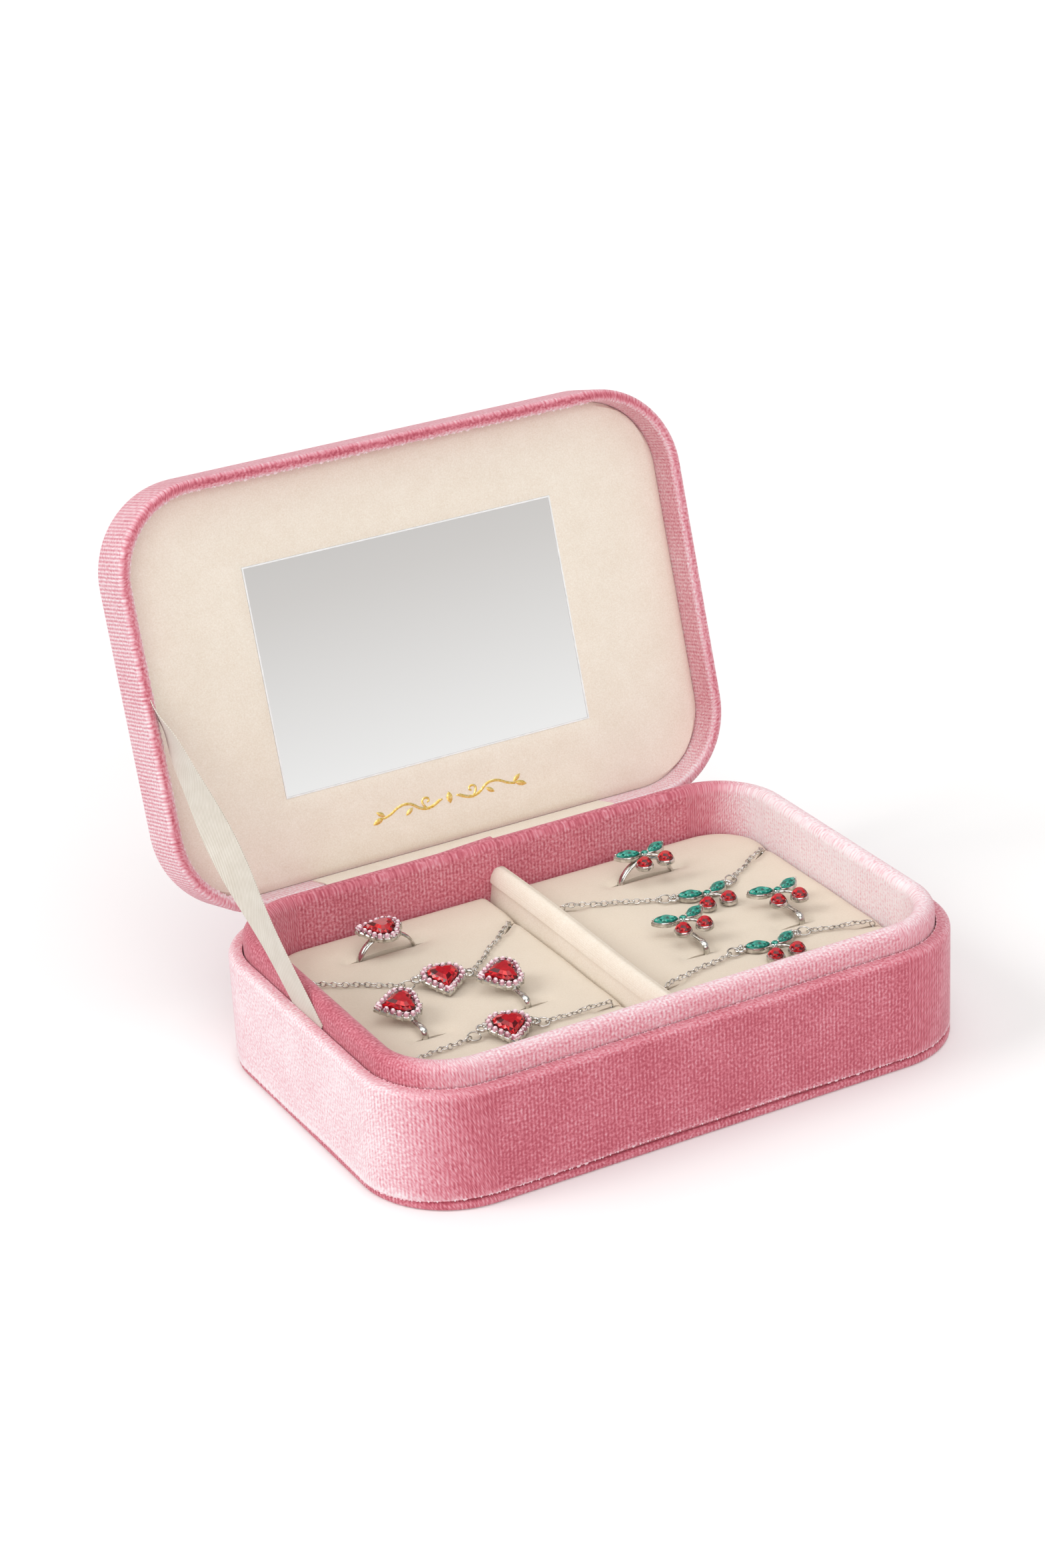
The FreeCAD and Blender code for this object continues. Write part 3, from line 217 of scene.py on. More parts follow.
def coat(mesh, material):
    """Give a mesh one material."""
    mesh.materials.clear()
    mesh.materials.append(material)


def dress(obj, material, body, slot, *nodes):
    """Give a piece its finish and its body, and hide the CAD nodes that it stands for. Slot is not used."""
    coat(obj.data, material)
    if body:
        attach(obj, body)
    if nodes:
        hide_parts(*nodes)
    measure(obj)


print("pieces can be dressed")

# %% [markdown]
# ## Finishes
#
# A finish is a small net of nodes in front of one Principled shader. `wire` joins sockets, and
# values that are the same all over a surface are set on the shader itself. What changes over the
# surface comes from its own coordinates, or from a number that the mesh stores.

# %% Nodes and wires


def new_finish(name, **settings):
    """A material with its shader's own values set."""
    material = bpy.data.materials.new(name)
    material.use_nodes = True
    shader = material.node_tree.nodes["Principled BSDF"]
    for socket, value in settings.items():
        shader.inputs[socket.replace("_", " ")].default_value = value
    return material, material.node_tree, shader


def add(tree, kind, sockets=None, **settings):
    """A new node, with values on its sockets and settings."""
    made = tree.nodes.new(kind)
    for name, value in settings.items():
        setattr(made, name, value)
    for socket, value in (sockets or {}).items():
        made.inputs[socket].default_value = value
    return made


def wire(tree, source, target):
    """Join an output to an input."""
    tree.links.new(source, target)


def attribute(tree, name):
    """A number that the mesh stores."""
    return add(tree, "ShaderNodeAttribute", attribute_name=name).outputs["Fac"]


def own_place(tree):
    """The point of the surface in the piece's own coordinates."""
    return add(tree, "ShaderNodeTexCoord").outputs["Object"]


print("nodes can be wired")

# %% [markdown]
# Most finishes need the same few things: a grain, arithmetic on it, colours and a fine relief. A
# grain is centred with `swing`, so that it makes a tone lighter as often as darker.

# %% Grain, colour and relief


def noise(tree, vector, scale, detail):
    """A cloudy grain between 0 and 1."""
    made = add(tree, "ShaderNodeTexNoise", {"Scale": scale, "Detail": detail})
    wire(tree, vector, made.inputs["Vector"])
    return made.outputs["Fac"]


def maths(tree, operation, a, b):
    """One step of arithmetic on sockets or numbers."""
    made = add(tree, "ShaderNodeMath", operation=operation)
    for socket, value in zip(made.inputs, (a, b)):
        if isinstance(value, (int, float)):
            socket.default_value = value
        else:
            wire(tree, value, socket)
    return made.outputs[0]


def swing(tree, value, amount):
    """A grain that is centred on nothing, and its amount."""
    return maths(tree, "MULTIPLY", maths(tree, "SUBTRACT", value, 0.5), amount)


def weighed(tree, first, share, second, rest):
    """The sum of two grains by their shares."""
    parts = [maths(tree, "MULTIPLY", *pair) for pair in ((first, share), (second, rest))]
    return maths(tree, "ADD", *parts)


def ramp(tree, factor, *stops):
    """Colours along a row of stops."""
    made = add(tree, "ShaderNodeValToRGB")
    row = made.color_ramp.elements
    while len(row) < len(stops):
        row.new(0.5)
    for element, (position, colour) in zip(row, stops):
        element.position = position
        element.color = (*colour, 1)
    wire(tree, factor, made.inputs["Fac"])
    return made.outputs["Color"]


def bump(tree, height, distance, strength, under=None):
    """A fine relief, on top of another one where there is one."""
    made = add(tree, "ShaderNodeBump", {"Strength": strength, "Distance": distance})
    wire(tree, height, made.inputs["Height"])
    if under:
        wire(tree, under, made.inputs["Normal"])
    return made.outputs["Normal"]


print("grain, colour and relief can be added")

# %% [markdown]
# ## Velvet
#
# The velvet is finely ribbed: a rib about every millimetre, running from the foot of the wall to
# its top. Ribs have to follow the outline round the corners, so they are drawn on the piece's own
# UV map, where U is the distance round the box. Much of the velvet's light and shade is painted:
# each piece stores a tone at every point as a vertex attribute, almost white where a side faces the
# light or is seen at a glancing angle (painted light and sheen) and deep rose where it is turned
# away (painted shade). How clearly its ribs show is stored as a second one, called ribbing: over a
# rolled edge the pile opens, and the ribs fade.

# %% Velvet finish
RIB_PITCH, PILE_RELIEF = 1.05 * MM, 0.12 * MM


def wave_scale(pitch):
    """The bands of a wave texture lie tau / 20 apart at a scale of one."""
    return math.tau / 20 / pitch


def velvet_finish():
    """Rose pile with ribs, a speckle of single tufts that also stands for painted glints, and worn patches.
    """
    material, tree, shader = new_finish(
        "ribbed_velvet",
        Roughness=0.9,
        Sheen_Weight=0.35,
        Sheen_Roughness=0.45,
        Sheen_Tint=(1.0, 0.86, 0.89, 1),
        Specular_IOR_Level=0.15,
    )
    pile = add(tree, "ShaderNodeUVMap", uv_map="pile").outputs["UV"]
    ribs = add(
        tree,
        "ShaderNodeTexWave",
        {"Scale": wave_scale(RIB_PITCH), "Distortion": 1.1, "Detail": 2.0, "Detail Scale": 1.6},
    )
    wire(tree, pile, ribs.inputs["Vector"])
    rib = swing(tree, ribs.outputs["Fac"], attribute(tree, "ribbing"))
    speckle_and_glints = noise(tree, pile, 1300, 3)
    patch = noise(tree, pile, 75, 2)
    tone = maths(tree, "ADD", attribute(tree, "nap"), maths(tree, "MULTIPLY", rib, 0.22))
    tone = maths(tree, "ADD", tone, swing(tree, speckle_and_glints, 1.3))
    tone = maths(tree, "ADD", tone, swing(tree, patch, 0.3))
    # The palest stops are painted sheen and the speckle's painted glints.
    colour = ramp(
        tree,
        maths(tree, "MULTIPLY", tone, 0.8),
        (0.0, (0.44, 0.085, 0.12)),
        (0.224, (0.62, 0.185, 0.235)),
        (0.48, (0.75, 0.385, 0.44)),
        (0.8, (0.862, 0.73, 0.76)),
        (1.0, (0.885, 0.83, 0.845)),
    )
    wire(tree, colour, shader.inputs["Base Color"])
    normal = bump(tree, rib, PILE_RELIEF, 0.6)
    normal = bump(tree, speckle_and_glints, PILE_RELIEF, 0.5, normal)
    wire(tree, normal, shader.inputs["Normal"])
    return material


velvet = velvet_finish()
print(velvet.name, "with", len(velvet.node_tree.nodes), "nodes")

# %% [markdown]
# To paint the pile's light and shade, each point of a piece needs to know which way the outline
# beside it faces, how deep it lies inside, and how far round the box it is.

# %% Round the outline


def outward(x, y):
    """Direction away from the middle of the box, square to the round-cornered outline."""
    across = math.copysign(max(abs(x) - STRAIGHT_X, 0), x)
    along = math.copysign(max(abs(y) - STRAIGHT_Y, 0), y)
    if across or along:
        return Vector((across, along, 0)).normalized()
    if STRAIGHT_X - abs(x) < STRAIGHT_Y - abs(y):
        return Vector((math.copysign(1, x), 0, 0))
    return Vector((0, math.copysign(1, y), 0))


def outer_gap(spot):
    """How far a point lies inside the outline of the box."""
    x = math.copysign(min(abs(spot.x), STRAIGHT_X), spot.x)
    y = math.copysign(min(abs(spot.y), STRAIGHT_Y), spot.y)
    return CORNER - (spot.xy - Vector((x, y))).dot(outward(spot.x, spot.y).xy)


def along_outline(x, y):
    """Distance along the outline from the middle of the back, by way of the left side."""
    if abs(x) <= STRAIGHT_X and y > 0:
        return -x if x <= 0 else PERIMETER - x
    if abs(y) <= STRAIGHT_Y and x < 0:
        return STRAIGHT_X + ARC + STRAIGHT_Y - y
    if abs(x) <= STRAIGHT_X:
        return 2 * STRAIGHT_X + 2 * ARC + 2 * STRAIGHT_Y + x
    if abs(y) <= STRAIGHT_Y:
        return 3 * STRAIGHT_X + 3 * ARC + 3 * STRAIGHT_Y + y
    bend = math.atan2(abs(y) - STRAIGHT_Y, abs(x) - STRAIGHT_X) * CORNER
    if x < 0 and y > 0:
        return STRAIGHT_X + ARC - bend
    if x < 0:
        return STRAIGHT_X + ARC + 2 * STRAIGHT_Y + bend
    if y < 0:
        return 3 * STRAIGHT_X + 3 * ARC + 2 * STRAIGHT_Y - bend
    return 3 * STRAIGHT_X + 3 * ARC + 4 * STRAIGHT_Y + bend


print("front left corner at", round(along_outline(-STRAIGHT_X, -DEPTH / 2) / MM, 1), "mm round the box")

# %% [markdown]
# A piece of velvet has one painted tone of light and shade for each of its four sides, outside,
# inside and along its edges. Between them the tones run into each other as the surface turns. A
# flat top has straight ribs.

# %% Painted light on the pile
EDGE_RIBS, FLAT_FROM = 0.35, 2.3 * MM


def four_sides(sides, row):
    """The value of a row of four (left, front, right, back), by how much a point faces each."""
    return sum(side * value for side, value in zip(sides, row))


def store_painted_light(mesh, outside, inside, edge, top, bend, ribs):
    """Store the pile's painted light and shade at each point, and how clearly its ribs show."""
    nap = mesh.attributes.new("nap", "FLOAT", "POINT")
    ribbing = mesh.attributes.new("ribbing", "FLOAT", "POINT")
    for vertex, normal in zip(mesh.vertices, mesh.vertex_normals):
        out = outward(vertex.co.x, vertex.co.y)
        sides = [max(amount, 0) ** 2 for amount in (-out.x, -out.y, out.x, out.y)]
        lean, rise = normal.vector.dot(out), normal.vector.z
        weights = (max(lean, 0) ** 2, max(-lean, 0) ** 2, rise ** 2)
        share = max(sum(weights), 1e-6)
        on_top = top is not None and rise > 0
        tone = 0
        for weight, row in zip(weights, (outside, inside, (top,) * 4 if on_top else edge)):
            tone += weight / share * four_sides(sides, row)
        # Painted highlight where the pile rolls over an edge.
        fold = 2 * abs(lean * rise) * bend[0 if lean > 0 else 1]
        nap.data[vertex.index].value = tone + fold * (0.4 if on_top else 1)
        clear = weights[0] * four_sides(sides, ribs) + weights[1] + weights[2] * EDGE_RIBS
        ribbing.data[vertex.index].value = clear / share


def paint_pile_light(obj, outside, inside, edge, top=None, bend=(0, 0), ribs=(1, 1, 1, 1)):
    """Store the velvet's painted light and shade, its ribbing and its UV map.

    Each row of four is a painted tone for the left, front, right and back. A piece with a flat top
    of its own has one tone there. Bend is a painted highlight: how much paler the pile is where it
    rolls over an outer or inner edge.
    """
    mesh = obj.data
    store_painted_light(mesh, outside, inside, edge, top, bend, ribs)
    pile = mesh.uv_layers.new(name="pile")
    for face in mesh.polygons:
        flat = top is not None and abs(face.normal.z) > 0.95 and outer_gap(face.center) > FLAT_FROM
        rounds = [along_outline(*mesh.vertices[v].co.xy) for v in face.vertices]
        wraps = max(rounds) - min(rounds) > PERIMETER / 2
        for loop, distance in zip(face.loop_indices, rounds):
            spot = mesh.vertices[mesh.loops[loop].vertex_index].co
            if wraps and distance < PERIMETER / 2:
                distance += PERIMETER
            climb = spot.z - spot.xy.dot(outward(spot.x, spot.y).xy)
            pile.data[loop].uv = spot.xy if flat else (distance, climb)


print("pile can be laid")

# %% [markdown]
# ## Foot
#
# The foot is a thin plate, wrapped in velvet. It starts as a block whose upright edges are rounded,
# so that its corners are true arcs. Seen from the left it stands back a little under the wall.

# %% Foot
CORNER_STEPS, FOOT_BACK = 20, 0.3 * MM


def rounded_block(name, inset, low, high):
    """A block with the box's outline, drawn in by inset."""
    x, y = LENGTH / 2 - inset, DEPTH / 2 - inset
    obj = block(name, (-x, -y, low), (x, y, high))
    bpy.ops.object.mode_set(mode="EDIT")
    pick(obj, "EDGE", upright)
    bevel(CORNER - inset, CORNER_STEPS)
    return obj


def left_share(x, y):
    """How squarely the outline beside a point faces left."""
    return max(-outward(x, y).x, 0) ** 2


foot = rounded_block("velvet_foot", 0, 0, BASE)
pick(foot, "EDGE", lambda edge: level(edge, 0) or level(edge, BASE))
bevel(1.0 * MM, 4)
slice_up(10 * MM)
bpy.ops.object.mode_set(mode="OBJECT")
for vertex in foot.data.vertices:
    vertex.co.x += FOOT_BACK * left_share(*vertex.co.xy)
# Painted shade on the foot: deep on the left, under the wall, and deepest on its top, which shows in the
# groove.
paint_pile_light(foot, (0.22, 0.26, 0.4, 0.3), (0, 0, 0, 0), (0.3, 0.3, 0.3, 0.3), top=0.0)
smooth(foot)
dress(foot, velvet, "base", "velvet", "base_board_cover", "base_board")

# %% [markdown]
# ## Wall
#
# The wall is a velvet sheet that climbs the outside and rolls over the top. Its block becomes a ring:
# top and bottom are inset and opened, and the two holes are bridged. Below, the cloth is turned
# under. It does not meet the foot evenly, and on the left it hangs lower. The groove under it gets
# painted shade and the lip above it a painted highlight.

# %% Wall
SLICE, LIP, LEFT_DROP = 8 * MM, 0.8 * MM, 1.2 * MM


def at_height(height, facing):
    """A test for the level faces at a height that look up (1) or down (-1)."""
    return lambda face: abs(face.calc_center_median().z - height) < 1e-5 and face.normal.z * facing > 0.9


def open_ring(obj, width, low, high):
    """Open the top and the bottom of a block up to a width, and join the holes by an inner wall."""
    for height, facing in ((high, 1), (low, -1)):
        pick(obj, "FACE", at_height(height, facing))
        bpy.ops.mesh.inset(thickness=width, depth=0)
        bpy.ops.mesh.delete(type="FACE")
    pick(obj, "EDGE", lambda edge: edge.is_boundary)
    bpy.ops.mesh.bridge_edge_loops()


def on_rim(edge):
    """An edge on the outline itself."""
    return all(abs(outer_gap(v.co)) < 2e-5 for v in edge.verts)


def seam_wave(x, y):
    """How much further the cloth stands off the foot at a point."""
    distance = along_outline(x, y) / MM
    wave = math.sin(distance / 19) + 0.6 * math.sin(distance / 7.7 + 1)
    return max(0.35 + 0.4 * wave, 0)


wall = rounded_block("velvet_wall", 0, BASE, WALL_TOP)
open_ring(wall, WALL, BASE, WALL_TOP)
pick(wall, "EDGE", lambda edge: level(edge, WALL_TOP) and on_rim(edge))
bevel(1.6 * MM, 6)
pick(wall, "EDGE", lambda edge: level(edge, BASE) and on_rim(edge))
bevel(LIP, 3)
slice_up(SLICE)
cut_across(Z, BASE + 3 * LIP)
bpy.ops.object.mode_set(mode="OBJECT")
# Painted light and shade on the wall: nearly white on the left, where the left lamp falls, deep rose at the
# front.
paint_pile_light(wall, (0.9, 0.17, 0.45, 0.25), (0.1, 0.1, 0.1, 0.1), (0.75, 0.34, 0.5, 0.4), bend=(0.1, 0.1))
wall_painted_light = wall.data.attributes["nap"].data
for vertex in wall.data.vertices:
    deep, height = outer_gap(vertex.co), vertex.co.z - BASE
    if height < 1.01 * LIP and deep < 1.01 * LIP:
        vertex.co -= outward(*vertex.co.xy) * deep
        vertex.co.z += height * seam_wave(*vertex.co.xy) - LEFT_DROP * left_share(*vertex.co.xy)
        # Painted highlight on the lip of the turned cloth, and painted shade in the groove below it.
        wall_painted_light[vertex.index].value += 0.22 if height > 0.99 * LIP else -0.3
smooth(wall)
dress(wall, velvet, "base", "velvet", "outer_wall_cover", "outer_wall")

# %% [markdown]
# ## Fringes
#
# Where the wall's cloth is turned under, beside the foot and beside the collar, cut pile stands out
# in a fringe of short tufts. A fringe is a thin band along the outline, so it needs the point that
# lies at a distance round the box, a modifier for its thickness, and faces that look outwards.

# %% Helpers for a fringe


def outline_spot(distance):
    """The point of the outline at a distance from the middle of the back, and its way outward."""
    middle, angle = Vector((0, STRAIGHT_Y, 0)), math.pi / 2
    sides = (STRAIGHT_X, 2 * STRAIGHT_Y, 2 * STRAIGHT_X, 2 * STRAIGHT_Y, STRAIGHT_X)
    for side in sides:
        run = min(distance, side)
        middle += Vector((-math.sin(angle), math.cos(angle), 0)) * run
        bend = min(distance - run, ARC)
        angle += bend / CORNER
        distance -= run + bend
    out = Vector((math.cos(angle), math.sin(angle), 0))
    return middle + out * CORNER, out


def finish_modifier(obj, kind, **settings):
    """Add a modifier and apply it at once."""
    focus(obj)
    modifier = obj.modifiers.new(kind.lower(), kind)
    for name, value in settings.items():
        setattr(modifier, name, value)
    bpy.ops.object.modifier_apply(modifier=modifier.name)


def outward_shell(obj):
    """In edit mode, turn the faces of a closed shape outwards, and leave edit mode."""
    bpy.ops.mesh.select_all(action="SELECT")
    bpy.ops.mesh.normals_make_consistent(inside=False)
    bpy.ops.object.mode_set(mode="OBJECT")
    return obj


print("halfway round the box lies", [round(v / MM, 1) for v in outline_spot(PERIMETER / 2)[0]])

# %% [markdown]
# A cylinder's open band is laid along the outline, and every other point of its free edge is drawn
# out. Where no tufts show, the band is sunk into the cloth.

# %% Fringes
TUFT, TUFT_SUNK, TUFT_THICK = 0.36 * MM, 0.8 * MM, 0.06 * MM


def fringe(name, body, tone, inset, height, reach, drop, tufted):
    """A ring of tufts. They reach inwards and drop, where the test says that they show."""
    count = 2 * int(PERIMETER / TUFT / 2)
    ring = primitive(bpy.ops.mesh.primitive_cylinder_add, name, vertices=count, end_fill_type="NOTHING")
    nap = ring.data.attributes.new("nap", "FLOAT", "POINT")
    for vertex in ring.data.vertices:
        step = round(math.atan2(vertex.co.y, vertex.co.x) / math.tau * count) % count
        spot, out = outline_spot(PERIMETER * step / count)
        uneven = math.sin(step * 7.3)
        long = 0.2 + (0.55 + 0.25 * uneven) * (step % 2) * tufted(spot)
        if vertex.co.z > 0:
            long = 0
        sunk = 0 if tufted(spot) else TUFT_SUNK
        vertex.co = spot - out * (inset + reach * long - sunk)
        vertex.co.z = height(spot) - drop * long
        # The tufts' pale tone is painted sheen, as on the rest of the velvet.
        nap.data[vertex.index].value = tone + 0.2 * uneven
    finish_modifier(ring, "SOLIDIFY", thickness=TUFT_THICK, offset=0)
    bpy.ops.object.mode_set(mode="EDIT")
    outward_shell(ring)
    if body == "lid":
        open_lid(ring)
    dress(ring, velvet, body, "velvet")


fringe(
    "velvet_fringe_seam",
    "base",
    tone=0.72,
    inset=0.05 * MM,
    height=lambda spot: BASE + LIP * (1.1 + seam_wave(*spot.xy)) - LEFT_DROP * left_share(*spot.xy),
    reach=-0.02 * MM,
    drop=0.75 * MM,
    tufted=lambda spot: True,
)
fringe(
    "velvet_fringe_collar",
    "base",
    tone=0.55,
    inset=WALL - 0.3 * MM,
    height=lambda spot: WALL_TOP - 0.04 * MM,
    reach=0.55 * MM,
    drop=-0.26 * MM,
    tufted=lambda spot: spot.y < -STRAIGHT_Y or (spot.x > STRAIGHT_X and spot.y < STRAIGHT_Y),
)

# %% [markdown]
# ## Collar
#
# The collar stands inside the wall. It is taller and has a full round lip, made by rounding both of
# its top edges. In the middle of the back its cloth ends in an overlap that stands up slightly.

# %% Collar
OVERLAP, OVERLAP_RISE = 16, 0.8 * MM


def around(edge):
    """An edge that runs round the box, not across its wall."""
    a, b = edge.verts
    return abs(outer_gap(a.co) - outer_gap(b.co)) < 1e-4


collar = rounded_block("velvet_collar", COLLAR_OUT, BASE, COLLAR_TOP)
open_ring(collar, COLLAR_IN - COLLAR_OUT, BASE, COLLAR_TOP)
pick(collar, "EDGE", lambda edge: level(edge, COLLAR_TOP) and around(edge))
bevel(2.65 * MM, 8)
slice_up(SLICE)
cut_across(X, 0.3 * MM)
bpy.ops.object.mode_set(mode="OBJECT")
for vertex in collar.data.vertices:
    x, y, z = vertex.co / MM
    if y > 45 and -OVERLAP < x < 0.1 and z > 20:
        flap = 1 + x / OVERLAP
        vertex.co.y -= OVERLAP_RISE * flap if y < 52 else 0
        vertex.co.z += OVERLAP_RISE * flap if z > 36 else 0
# Painted light and shade on the collar: palest inside on the right, which faces the left lamp, and pale
# along the front lip.
paint_pile_light(collar, (0.15, 0.56, 0.5, 0.3), (0.28, 0.5, 1.06, 0.27), (0.18, 0.84, 0.95, 0.2))
smooth(collar)
dress(collar, velvet, "base", "velvet", "collar_cover", "collar")

# %% [markdown]
# ## Lid in velvet
#
# The lid is a shallow tray. It is drawn shut, where its outline is the same as the base's, and is
# then swung open about the hinge. Its rim has a fringe too, where the cloth is turned in.

# %% Lid shell
LID_WALL, LID_BOARD = 3.2 * MM, 2.9 * MM


def open_lid(obj):
    """Swing a piece that was drawn on the shut lid up to the open lid."""
    swung = Matrix.Rotation(-OPENING, 4, "X")
    obj.data.transform(Matrix.Translation(HINGE) @ swung @ Matrix.Translation(-HINGE))
    obj.data.update()


shell = rounded_block("velvet_lid", 0, RIM, LID_TOP)
pick(shell, "FACE", at_height(RIM, -1))
bpy.ops.mesh.inset(thickness=LID_WALL, depth=0)
bpy.ops.mesh.extrude_region_move(TRANSFORM_OT_translate={"value": (0, 0, LID_TOP - RIM - LID_BOARD)})
pick(shell, "EDGE", lambda edge: level(edge, LID_TOP))
bevel(2.4 * MM, 6)
pick(shell, "EDGE", lambda edge: level(edge, RIM) and around(edge))
bevel(1.4 * MM, 6)
slice_up(SLICE)
bpy.ops.object.mode_set(mode="OBJECT")
# Painted light and shade on the lid, with painted highlights where its cloth rolls over an edge.
paint_pile_light(
    shell,
    (0.66, 0.48, 0.4, 0.35),
    (0.25, 0.5, 0.48, 0.75),
    (0.26, 0.1, 0.34, 0.55),
    top=0.38,
    bend=(0.2, 0.3),
    ribs=(2.2, 1, 1, 1),
)
open_lid(shell)
smooth(shell)
dress(shell, velvet, "lid", "velvet", "lid_cover", "lid_wall", "lid_top_board")
fringe(
    "velvet_fringe_lid",
    "lid",
    tone=0.8,
    inset=3.1 * MM,
    height=lambda spot: RIM + 0.9 * MM,
    reach=0.6 * MM,
    drop=-0.5 * MM,
    tufted=lambda spot: spot.x < -STRAIGHT_X or (spot.x < STRAIGHT_X and spot.y < 0),
)

# %% [markdown]
# ## Cream cloth
#
# The pads, the divider and the panel in the lid are wrapped in a cream suede cloth. It has no weave
# that shows, only a very fine grain and a faint cloudiness, so two noises on Object coordinates do.
# The pads' cloth is the same, pulled tight over foam, and is given a deeper cream than the panel's as
# painted shade, for the pads lie low inside the box.

# %% Cream suede


def cream_finish(name, dark, middle, pale):
    """Suede between a dark and a pale cream."""
    material, tree, shader = new_finish(
        name,
        Roughness=0.78,
        Sheen_Weight=0.12,
        Sheen_Roughness=0.5,
        Specular_IOR_Level=0.2,
    )
    spot = own_place(tree)
    grain = noise(tree, spot, 2400, 3)
    tone = weighed(tree, grain, 0.75, noise(tree, spot, 160, 3), 0.25)
    colour = ramp(tree, tone, (0.3, dark), (0.5, middle), (0.7, pale))
    wire(tree, colour, shader.inputs["Base Color"])
    wire(tree, bump(tree, grain, 0.08 * MM, 0.5), shader.inputs["Normal"])
    return material


cream = cream_finish("cream_suede", (0.79, 0.7, 0.585), (0.84, 0.765, 0.66), (0.89, 0.83, 0.735))
# The pads' deeper cream is painted shade.
shaded_pad_cream = cream_finish("cream_suede_painted_shade", (0.71, 0.615, 0.5), (0.735, 0.645, 0.53), (0.755, 0.67, 0.56))
print("two creams:", cream.name, "and", shaded_pad_cream.name)

# %% [markdown]
# ## Where the jewels sit
#
# Each jewel stands or lies over a slit in its pad. The slits are needed first, for the pads. A
# chain leaves the eyelet beside its pendant and runs straight to a slit at the edge of the pad.
# From here on, small sizes are in millimetres.

# %% Places of the jewels
PAD_MIDDLES = {"heart": -39.7, "cherry": 39.7}
PAD_TOP, LYING = 24.5, 24.75
RING_SHIFT, RING_Y = -2.5, 33.8
CLIP_SHIFTS = {"left": -14.5, "right": 15.0}
CHAIN_REACH, CHAIN_ENDS = 31.8, {"necklace": 28.5, "bracelet": -25.5}
HEART_LOBE, HEART_SPREAD, HEART_SLOPE, HEART_RIM = 2.3, 1.7, math.radians(41), 1.9
HEART_LEAN, HEART_TURN = 10, -14
LEAF_X, LEAF_Y, LEAF_TURN, LEAF_END = 4.3, 1.7, math.radians(22), 4.7


def pose(x, y, z, tilt=0, turn=0):
    """A head's place: turned about Z, then leaned towards the front."""
    lean = Matrix.Rotation(math.radians(tilt), 4, "X")
    spin = Matrix.Rotation(math.radians(turn), 4, "Z")
    return Matrix.Translation((x, y, z)) @ lean @ spin


def heart_tip(grow):
    """How far the point of a heart lies in front of its middle."""
    return (HEART_LOBE + grow) / math.sin(HEART_SLOPE) + HEART_SPREAD / math.tan(HEART_SLOPE)


HEART_LYING = LYING + heart_tip(HEART_RIM) * math.sin(math.radians(HEART_LEAN))
PENDANTS = {
    "heart_necklace": pose(-38.9, 8.2, HEART_LYING, HEART_LEAN, HEART_TURN),
    "heart_bracelet": pose(-37.3, -24, HEART_LYING, HEART_LEAN, HEART_TURN),
    "cherry_necklace": pose(43.3, 11.6, LYING),
    "cherry_bracelet": pose(42.3, -23.5, LYING),
}
EYELETS = {
    "heart": (HEART_SPREAD + HEART_LOBE + HEART_RIM + 1.1, 0),
    "cherry": (LEAF_X + LEAF_END * math.cos(LEAF_TURN), LEAF_Y + LEAF_END * math.sin(LEAF_TURN)),
}


def eyelet_spot(theme, hand):
    """The eyelet at the left (-1) or the right (1) of a head."""
    x, y = EYELETS[theme]
    return Vector((hand * x, y, 0))


def chain_run(name, hand):
    """Start, end and direction of one run of chain over the pad."""
    theme, jewel = name.split("_")
    start = PENDANTS[name] @ eyelet_spot(theme, hand)
    start.z = 0
    end = Vector((PAD_MIDDLES[theme] + hand * CHAIN_REACH, CHAIN_ENDS[jewel], 0))
    return start, end, (end - start).normalized()


for name in PENDANTS:
    runs = [chain_run(name, hand) for hand in (-1, 1)]
    print(name, "runs", [round((end - start).length, 1) for start, end, along in runs], "mm")

# %% [markdown]
# A pad has one wide slit for the ring, two short ones for the ear clips, and four at the ends of
# the chains, which point along the chain.

# %% Slits
CLIP_SLIT_Y, CHAIN_SLIT_BACK = -14, 0.65
RING_SLIT, CLIP_SLIT, CHAIN_SLIT = (22, 2.4), (9, 0.9), (8.5, 0.8)


def pad_slits(theme):
    """Middle, direction, length and width of every slit of a pad."""
    middle = PAD_MIDDLES[theme]
    sideways = Vector((1, 0, 0))
    rows = [(Vector((middle + RING_SHIFT, RING_Y, 0)), sideways, *RING_SLIT)]
    for shift in CLIP_SHIFTS.values():
        rows.append((Vector((middle + shift, CLIP_SLIT_Y, 0)), sideways, *CLIP_SLIT))
    for jewel in CHAIN_ENDS:
        for hand in (-1, 1):
            start, end, along = chain_run(f"{theme}_{jewel}", hand)
            rows.append((end - along * CHAIN_SLIT_BACK, along, *CHAIN_SLIT))
    return rows


print(sum(len(pad_slits(theme)) for theme in PAD_MIDDLES), "slits")

# %% [markdown]
# ## Raising an outline
#
# Blades, foil, settings and stones all start in the same way. A circle's points are moved to an
# outline, and the flat face is extruded upwards in steps, each drawn in or out a little.

# %% Raised outlines


def outline_piece(name, points, height):
    """A flat face with the given outline, open in edit mode."""
    obj = primitive(bpy.ops.mesh.primitive_circle_add, name, vertices=len(points), fill_type="NGON")
    for vertex, (x, y) in zip(obj.data.vertices, points):
        vertex.co = Vector((x, y, height)) * MM
    bpy.ops.object.mode_set(mode="EDIT")
    bpy.ops.mesh.select_all(action="SELECT")
    bpy.ops.mesh.normals_make_consistent(inside=False)
    return obj


